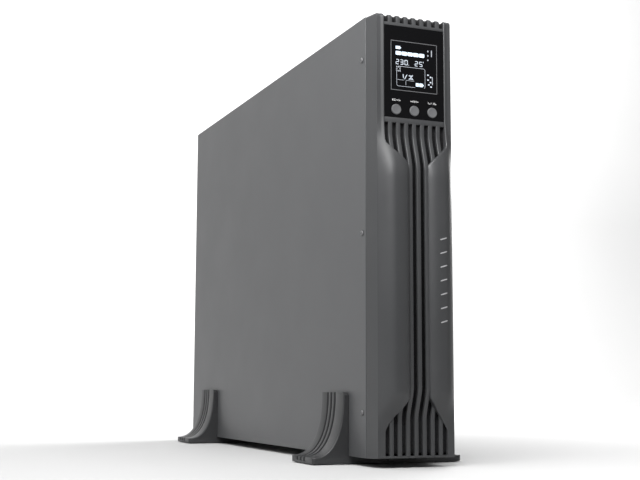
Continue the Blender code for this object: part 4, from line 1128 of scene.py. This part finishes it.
def fan_guard(level):
    """Wire guard: welded rings on two crossed bars that turn in to the panel."""
    low, high, centre = place_of(f"{level}_fan_guard")
    plane = high.y - GUARD_WIRE
    solids = []
    for size in GUARD_RINGS:
        radius = size * MM
        ring = [(centre.x + radius * cosine, plane, centre.z + radius * sine) for cosine, sine in circle(64)]
        solids.append(sweep(ring, GUARD_WIRE, 8, closed=True))
    seat = low.y + 0.3 * MM
    on_panel = Vector((centre.x, seat + GUARD_WIRE, centre.z))
    for turn, under in ((1, 1.2), (-1, 1.0)):
        direction = Vector((math.cos(math.pi / 4), 0, turn * math.sin(math.pi / 4)))
        on_rings = Vector((centre.x, plane - under * GUARD_WIRE, centre.z))
        bar = []
        for middle, reach in (
            (on_panel, -GUARD_REACH), (on_panel, 4 * MM - GUARD_REACH), (on_rings, 8 * MM - GUARD_REACH),
            (on_rings, GUARD_REACH - 8 * MM), (on_panel, GUARD_REACH - 4 * MM), (on_panel, GUARD_REACH),
        ):
            bar.append(middle + direction * reach)
        solids.append(sweep(rounded_path(bar, 1.5 * MM, 4), GUARD_WIRE, 8))
        for side in (-1, 1):
            spot = on_panel + direction * side * (GUARD_REACH + 0.2 * MM)
            solids.append(pan_head((spot.x, seat, spot.z), 3.0 * MM, 2.2 * MM, "Y"))
    name = f"{level}_fan_guard"
    piece(f"{name}_wires", merged(solids), PLATED, "case", (name,), 35)


PIVOT_DEPTH = 11 * MM
HUB = in_mm((0, -7.6), (13, -7.6), (15, -7.1), (16, -5.6), (16, 9.0), (15.4, 9.6), (0, 9.6))
BLADE_COUNT = 7
BLADE_STEPS = 8
BLADE_DEPTHS = (-7.4 * MM, 9.0 * MM)


def blade_point(share, step, sign, turn):
    """(across, deep, up) of a point on one face of a blade, from the pivot."""
    radius = (15 + 20.3 * share) * MM
    pitch = math.radians(48 - 16 * share)
    chord = (10.5 + 7.5 * share) * MM
    u = step / BLADE_STEPS - 0.5
    camber = 1.2 * MM * (1 - (2 * u) ** 2)
    thick = sign * 0.65 * MM * math.sqrt(max(1 - (2 * u) ** 2, 0.02))
    along = u * chord * math.cos(pitch) - (camber + thick) * math.sin(pitch)
    deep = u * chord * math.sin(pitch) + (camber + thick) * math.cos(pitch)
    angle = 0.28 * share**1.5 + along / radius + turn
    deep = min(max(deep, BLADE_DEPTHS[0]), BLADE_DEPTHS[1])
    return Vector((radius * math.cos(angle), deep, radius * math.sin(angle)))


def fan_rotor(level):
    """Hub cap and seven swept, twisted blades."""
    name = f"{level}_fan_rotor"
    centre = place_of(name)[2]
    pivot = Vector((centre.x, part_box(f"{level}_fan_housing")[0].y + PIVOT_DEPTH, centre.z))
    solids = [lathe(HUB, pivot, "Y", 40)]
    for blade in range(BLADE_COUNT):
        turn = 2 * math.pi * blade / BLADE_COUNT
        sheets = []
        for sign in (-1, 1):
            sheets.append([])
            for radial in range(BLADE_STEPS + 1):
                share = radial / BLADE_STEPS
                points = [blade_point(share, step, sign, turn) for step in range(BLADE_STEPS + 1)]
                sheets[-1].append([pivot + point for point in points])
        solids.append(slab(sheets))
    piece(f"{level}_fan_impeller", merged(solids), BLACK, name, (name,), 45)


# ---------------------------------------------------------------- rear sockets

CORE_FACE = REAR_Y + 1.4 * MM
SMALL_SLOTS = (5.2, 2.0, 2.2, 4.6)  # spread, rise, width and height in mm
LARGE_SLOTS = (6.2, 2.6, 2.4, 5.6)


def outlet_slots():
    """Three contact slots in the core of each outlet: each a thin dark sheet of painted shade on the core's
    face, with a brass strip in it.
    """
    cores = []
    for name in ("upper_outlets", "lower_outlets"):
        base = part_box(name)[0].z
        cores += [(x * MM, base + up * MM, SMALL_SLOTS) for x in (-16, 16) for up in (15.5, 41.5)]
    middle = place_of("large_outlet")[2]
    cores.append((middle.x, middle.z, LARGE_SLOTS))
    dark, brass = [], []
    for x, z, sizes in cores:
        spread_x, rise, wide, tall = (size * MM for size in sizes)
        for dx, dz in ((-spread_x, rise), (spread_x, rise), (0.0, -rise)):
            spot = Vector((x + dx, CORE_FACE, z + dz))
            low, high = Vector((wide / 2, 0.02 * MM, tall / 2)), Vector((wide / 2, 0.06 * MM, tall / 2))
            # Painted shade: a thin dark sheet on the core's face stands for the hole of the slot.
            dark.append(rounded_cuboid(spot - low, spot + high, 0.03 * MM, 1))
            low, high = Vector((wide * 0.18, 0, tall * 0.4)), Vector((wide * 0.18, 0.08 * MM, tall * 0.4))
            brass.append(cuboid(spot - low, spot + high))
    piece("outlet_slot_painted_shade", merged(dark), DARK, "case")
    piece("outlet_contacts", merged(brass), BRASS, "case")


def inlet_pins():
    """Bright sleeves on the inlet's three flat pins."""
    middle = place_of("mains_inlet")[2]
    size = Vector((1.15 * MM, 0, 3.15 * MM))
    solids = []
    for x, lift in in_mm((-6.5, -4), (6.5, -4), (0.0, 5)):
        start = Vector((middle.x + x, REAR_Y - 17 * MM, middle.z + lift))
        solids.append(rounded_cuboid(start - size, start + size + Vector((0, 14.3 * MM, 0)), 0.35 * MM))
    piece("inlet_pin_sleeves", merged(solids), PLATED, "case")


CONTACT = in_mm((0, 0), (0.5, 0), (0.5, 2.4), (0, 2.6))
POST = in_mm((0, 0), (2.6, 0), (2.6, 3.2), (2.3, 3.5), (1.2, 3.5), (1.2, 1), (0, 1))


def serial_pins():
    """Nine contacts and the two hexagonal posts of the serial port."""
    contacts, posts = [], []
    middle_x, middle_z = -22.5 * MM, CASE_BOTTOM + 27.25 * MM
    for row, count in ((0, 5), (1, 4)):
        for index in range(count):
            x = middle_x + (index - (count - 1) / 2) * 2.6 * MM
            z = middle_z + (1.4 - 2.8 * row) * MM
            contacts.append(lathe(CONTACT, (x, REAR_Y - 1 * MM, z), "Y", 10))
    for side in (-1, 1):
        posts.append(lathe(POST, (middle_x + side * 12.2 * MM, REAR_Y + 0.9 * MM, middle_z), "Y", 6))
    piece("serial_contacts", merged(contacts), BRASS, "case")
    piece("serial_posts", merged(posts), PLATED, "case", angle=25)


def network_jacks():
    """Black liners with spring contacts in the two surge-protected jacks."""
    liners, contacts = [], []
    z = CASE_BOTTOM + 26.55 * MM
    back = REAR_Y - 11.7 * MM
    wide, tall = 5.7 * MM, 3.9 * MM
    for x in (10.5 * MM, 25.5 * MM):
        corners = (x - wide, back, z - tall), (x + wide, back + 1.2 * MM, z + tall)
        liners.append(rounded_cuboid(*corners, 0.2 * MM))
        for index in range(8):
            spring_x = x + (index - 3.5) * 1.02 * MM
            places = ((REAR_Y - 1.6 * MM, 3.2), (REAR_Y - 4 * MM, 1.2), (back + MM, 0.6))
            contacts.append(sweep([(spring_x, y, z + up * MM) for y, up in places], 0.22 * MM, 6))
    piece("jack_liners", merged(liners), DARK, "case")
    piece("jack_contacts", merged(contacts), BRASS, "case")


CLAMP_SCREW = in_mm((0, 0), (1.4, 0), (1.4, 1.2), (1.2, 1.4), (0, 1.4))


def panel_screws():
    """Screws of the rear panel and in the shutdown terminal."""
    solids = []
    for x, height in in_mm((-39.5, 353), (39.5, 353), (-39.5, 185), (39.5, 185)):
        solids.append(pan_head((x, REAR_Y, CASE_BOTTOM + height), 2.8 * MM, 1.8 * MM, "Y"))
    for x in (-34 * MM, -28 * MM):
        solids.append(lathe(CLAMP_SCREW, (x, REAR_Y + 2.0 * MM, CASE_BOTTOM + 11 * MM), "Y", 20))
    piece("rear_panel_screws", merged(solids), PLATED, "case")


def breaker_cap():
    """Round cap of the breaker's reset button, with a slightly domed end."""
    low, high, centre = place_of("breaker_button")
    radius, depth = (high.x - low.x) / 2, high.y - low.y
    profile = [(0, 0), (radius, 0)]
    profile += [(radius - MM * (1 - cosine), depth - MM * (1 - sine)) for cosine, sine in quarter(5)]
    profile += [(radius * 0.5, depth - 0.25 * MM), (0, depth - 0.4 * MM)]
    cap = lathe(profile, (centre.x, low.y, centre.z), "Y")
    piece("breaker_button_cap", cap, BLACK, "breaker_button", ("breaker_button",))


# ---------------------------------------------------------------- battery drawer

HANDLE_FOOT = in_mm((0, -0.4), (5, -0.4), (5, 0.4), (3.2, 1.6), (0, 1.6))
VENT = in_mm((0, 0), (4, 0), (4, 0.5), (3.4, 0.8), (0, 0.8))


def handle():
    """Bent wire handle with two feet on the battery door."""
    low, high, centre = place_of("battery_handle")
    radius = 2.5 * MM
    front, back = low.y + radius, high.y
    bottom, top = low.z + radius, high.z - radius
    places = ((back, bottom), (front, bottom), (front, top), (back, top))
    bar = sweep(rounded_path([(centre.x, y, z) for y, z in places], 8 * MM, 10), radius, 16)
    feet = [lathe(HANDLE_FOOT, (centre.x, back - 0.4 * MM, z), "-Y", 28) for z in (bottom, top)]
    solid = merged([bar, *feet])
    piece("battery_door_handle", solid, BLACK, "battery_drawer", ("battery_handle",))


def batteries():
    """Sealed blocks with a glued lid, flame vents and flat terminals."""
    terminals = []
    for number in range(1, 7):
        name = f"battery_{number}"
        low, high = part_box(name)
        front = low.y + 5 * MM
        body = rounded_cuboid((low.x, front, low.z), high, 1.2 * MM, 3)
        left, right, crest = low.x + 0.6 * MM, high.x - 0.6 * MM, high.z - 0.6 * MM
        under = low.z - MM
        groove = [(low.x - MM, under), (left, under), (left, crest), (right, crest), (right, under)]
        groove += [(high.x + MM, under), (high.x + MM, high.z + MM), (low.x - MM, high.z + MM)]
        solids = [carved(body, [prism(groove, front + 15 * MM, front + 15.8 * MM, "Y")])]
        for x in (21.5, 32.5, 43.5):
            for z in (50, 100):
                spot = Vector((low.x + x * MM, front + 0.1 * MM, low.z + z * MM))
                solids.append(lathe(VENT, spot, "-Y", 24))
        piece(f"{name}_block", merged(solids), BATTERY, "battery_drawer", (name,))
        for z in (low.z + 14 * MM, high.z - 14 * MM):
            corner = (low.x + 7.9 * MM, low.y, z - 3.2 * MM)
            opposite = (low.x + 8.7 * MM, front + 0.2 * MM, z + 3.2 * MM)
            terminals.append(rounded_cuboid(corner, opposite, 0.2 * MM))
    piece("battery_terminals", merged(terminals), PLATED, "battery_drawer")


def battery_leads():
    """Lead from the door to the battery plug: a red and a black core side by side."""
    low, high, centre = place_of("battery_lead")
    radius = 2 * MM
    front, bottom = low.y + radius, low.z + radius
    cores = (("red", RED, -1.05 * MM, ("battery_lead",)), ("black", BLACK, 1.05 * MM, ()))
    for name, material, shift, replaced in cores:
        x = centre.x + shift
        made = sweep(rounded_path([(x, front, high.z), (x, front, bottom), (x, high.y, bottom)], 5 * MM), MM)
        piece(f"battery_lead_{name}", made, material, "battery_drawer", replaced)


# ---------------------------------------------------------------- power parts

COIL_TURNS = 26
COIL_STEPS = 16
COIL_WIRE = 1.1 * MM
COIL_SHARE = 0.94  # of the core's circle that the winding covers


def inductor():
    """Ring core wound with lacquered copper wire."""
    low, high, centre = place_of("boost_inductor")
    outer, inner, half = 30 * MM, 12 * MM, (high.x - low.x) / 2
    small, large, end = inner + 2.4 * MM, outer - 2.4 * MM, half - 2.6 * MM
    core = lathe([(small, -end), (large, -end), (large, end), (small, end), (small, -end)], centre, "X", 48)
    path = []
    for step in range(COIL_TURNS * COIL_STEPS + 1):
        angle = 2 * math.pi * step / COIL_STEPS
        around = 2 * math.pi * COIL_SHARE * step / (COIL_TURNS * COIL_STEPS)
        cosine, sine = math.cos(angle), math.sin(angle)
        corner = max(abs(cosine), abs(sine))
        radius = (outer + inner) / 2 + ((outer - inner) / 2 - COIL_WIRE) * cosine / corner
        along = (half - COIL_WIRE) * sine / corner
        path.append(centre + Vector((along, radius * math.cos(around), radius * math.sin(around))))
    piece("boost_inductor_core", core, DARK, "case", ("boost_inductor",))
    piece("boost_inductor_winding", sweep(path, COIL_WIRE, 8), COPPER, "case")


def capacitor():
    """Can in a plain sleeve, with a rolled end and a groove near the other."""
    low, high, centre = place_of("bus_capacitor")
    radius, length = (high.z - low.z) / 2, high.x - low.x
    profile = [(0, 0.3 * MM), (radius - 4 * MM, 0.3 * MM), (radius - 3 * MM, 0), (radius - MM, 0.2 * MM)]
    profile += [(radius, 1.4 * MM), (radius, length - 8 * MM), (radius - 1.2 * MM, length - 6.5 * MM)]
    profile += [(radius, length - 5 * MM), (radius, length), (0, length)]
    can = lathe(profile, (low.x, centre.y, centre.z), "X", 48)
    piece("bus_capacitor_can", can, SLEEVE, "case", ("bus_capacitor",))


# ---------------------------------------------------------------- stage, light and camera

BACKDROP_Y = 3.0
BACKDROP_TOP = 2.6
BACKDROP_CURVE = 0.8
FLOOR_FRONT = -3.2
FLOOR_HALF = 3.5
WORLD_LIGHT = 0.32


def studio():
    """Pale floor that curves up into a backdrop, and a plain surround."""
    start = BACKDROP_Y - BACKDROP_CURVE
    profile = [(FLOOR_FRONT, 0.0), (start, 0.0)]
    for cosine, sine in quarter(12)[1:]:
        profile.append((start + BACKDROP_CURVE * sine, BACKDROP_CURVE * (1 - cosine)))
    profile.append((BACKDROP_Y, BACKDROP_TOP))
    builder = bmesh.new()
    quads(builder, [[builder.verts.new((x, y, z)) for x in (-FLOOR_HALF, FLOOR_HALF)] for y, z in profile])
    mesh = settle(builder)
    paper = surface("floor_paper", (0.52, 0.52, 0.52), 0.7, drift=0.008, drift_size=400, shine_drift=0.03)
    mesh.materials.append(paper)
    placed("studio_floor", mesh)
    world = bpy.data.worlds.new("studio")
    bpy.context.scene.world = world
    world.use_nodes = True
    background = world.node_tree.nodes["Background"]
    background.inputs["Color"].default_value = (1.0, 1.0, 1.0, 1.0)
    background.inputs["Strength"].default_value = WORLD_LIGHT


def soft_light(name, location, target, size, power):
    """Rectangular light in metres and watts, turned to its target."""
    data = bpy.data.lights.new(name, "AREA")
    data.shape = "RECTANGLE"
    data.size, data.size_y = size
    data.energy = power
    made = placed(name, data)
    made.location = location
    made.rotation_euler = (Vector(target) - Vector(location)).to_track_quat("-Z", "Y").to_euler()


def lights():
    middle, top = (0, 0, 0.25), (0, -0.3, 0.42)
    soft_light("left_wall", (-1.5, 0.0, 1.5), middle, (1.2, 1.2), 15.5)
    soft_light("front_left", (-0.38, -0.66, 0.8), top, (0.5, 0.5), 9.8)
    soft_light("front_top", (-0.05, -0.6, 0.72), top, (0.3, 0.3), 0.8)
    soft_light("backdrop_left", (-0.4, 1.0, 2.3), (-0.6, 2.9, 0.8), (1.6, 0.8), 55)
    soft_light("backdrop_right", (1.6, 0.8, 2.3), (1.6, 2.9, 0.9), (2.0, 0.8), 125)
    soft_light("rear_right", (1.9, 1.3, 1.2), middle, (1.2, 1.2), 30)


CAMERA_PLACE = (-0.50917, -1.2948, 0.07867)
CAMERA_TURNS = (22.391, 7.229, 0.177)  # yaw, pitch and roll in degrees
LENS = 64.134


def camera():
    """Viewpoint left of the front, low, looking slightly up."""
    data = bpy.data.cameras.new("camera")
    data.sensor_width = 36.0
    data.lens = LENS
    made = placed("camera", data)
    yaw, pitch, roll = (math.radians(turn) for turn in CAMERA_TURNS)
    ahead = Vector((math.sin(yaw) * math.cos(pitch), math.cos(yaw) * math.cos(pitch), math.sin(pitch)))
    right = ahead.cross(Vector((0, 0, 1))).normalized()
    up = right.cross(ahead)
    tilted_right = right * math.cos(roll) + up * math.sin(roll)
    tilted_up = up * math.cos(roll) - right * math.sin(roll)
    turned = Matrix((tilted_right, tilted_up, -ahead)).transposed().to_4x4()
    made.matrix_world = Matrix.Translation(CAMERA_PLACE) @ turned
    bpy.context.scene.camera = made


for build in (bezel, line_notches_with_foam_and_shade, trim_dashes, display, air_filter, stand, screws):
    build()
for fan_level in ("upper", "lower"):
    fan_guard(fan_level)
    fan_rotor(fan_level)
for build in (outlet_slots, inlet_pins, serial_pins, network_jacks, panel_screws, breaker_cap):
    build()
for build in (handle, batteries, battery_leads, inductor, capacitor, studio, lights, camera):
    build()

bpy.context.scene.view_settings.view_transform = "Standard"
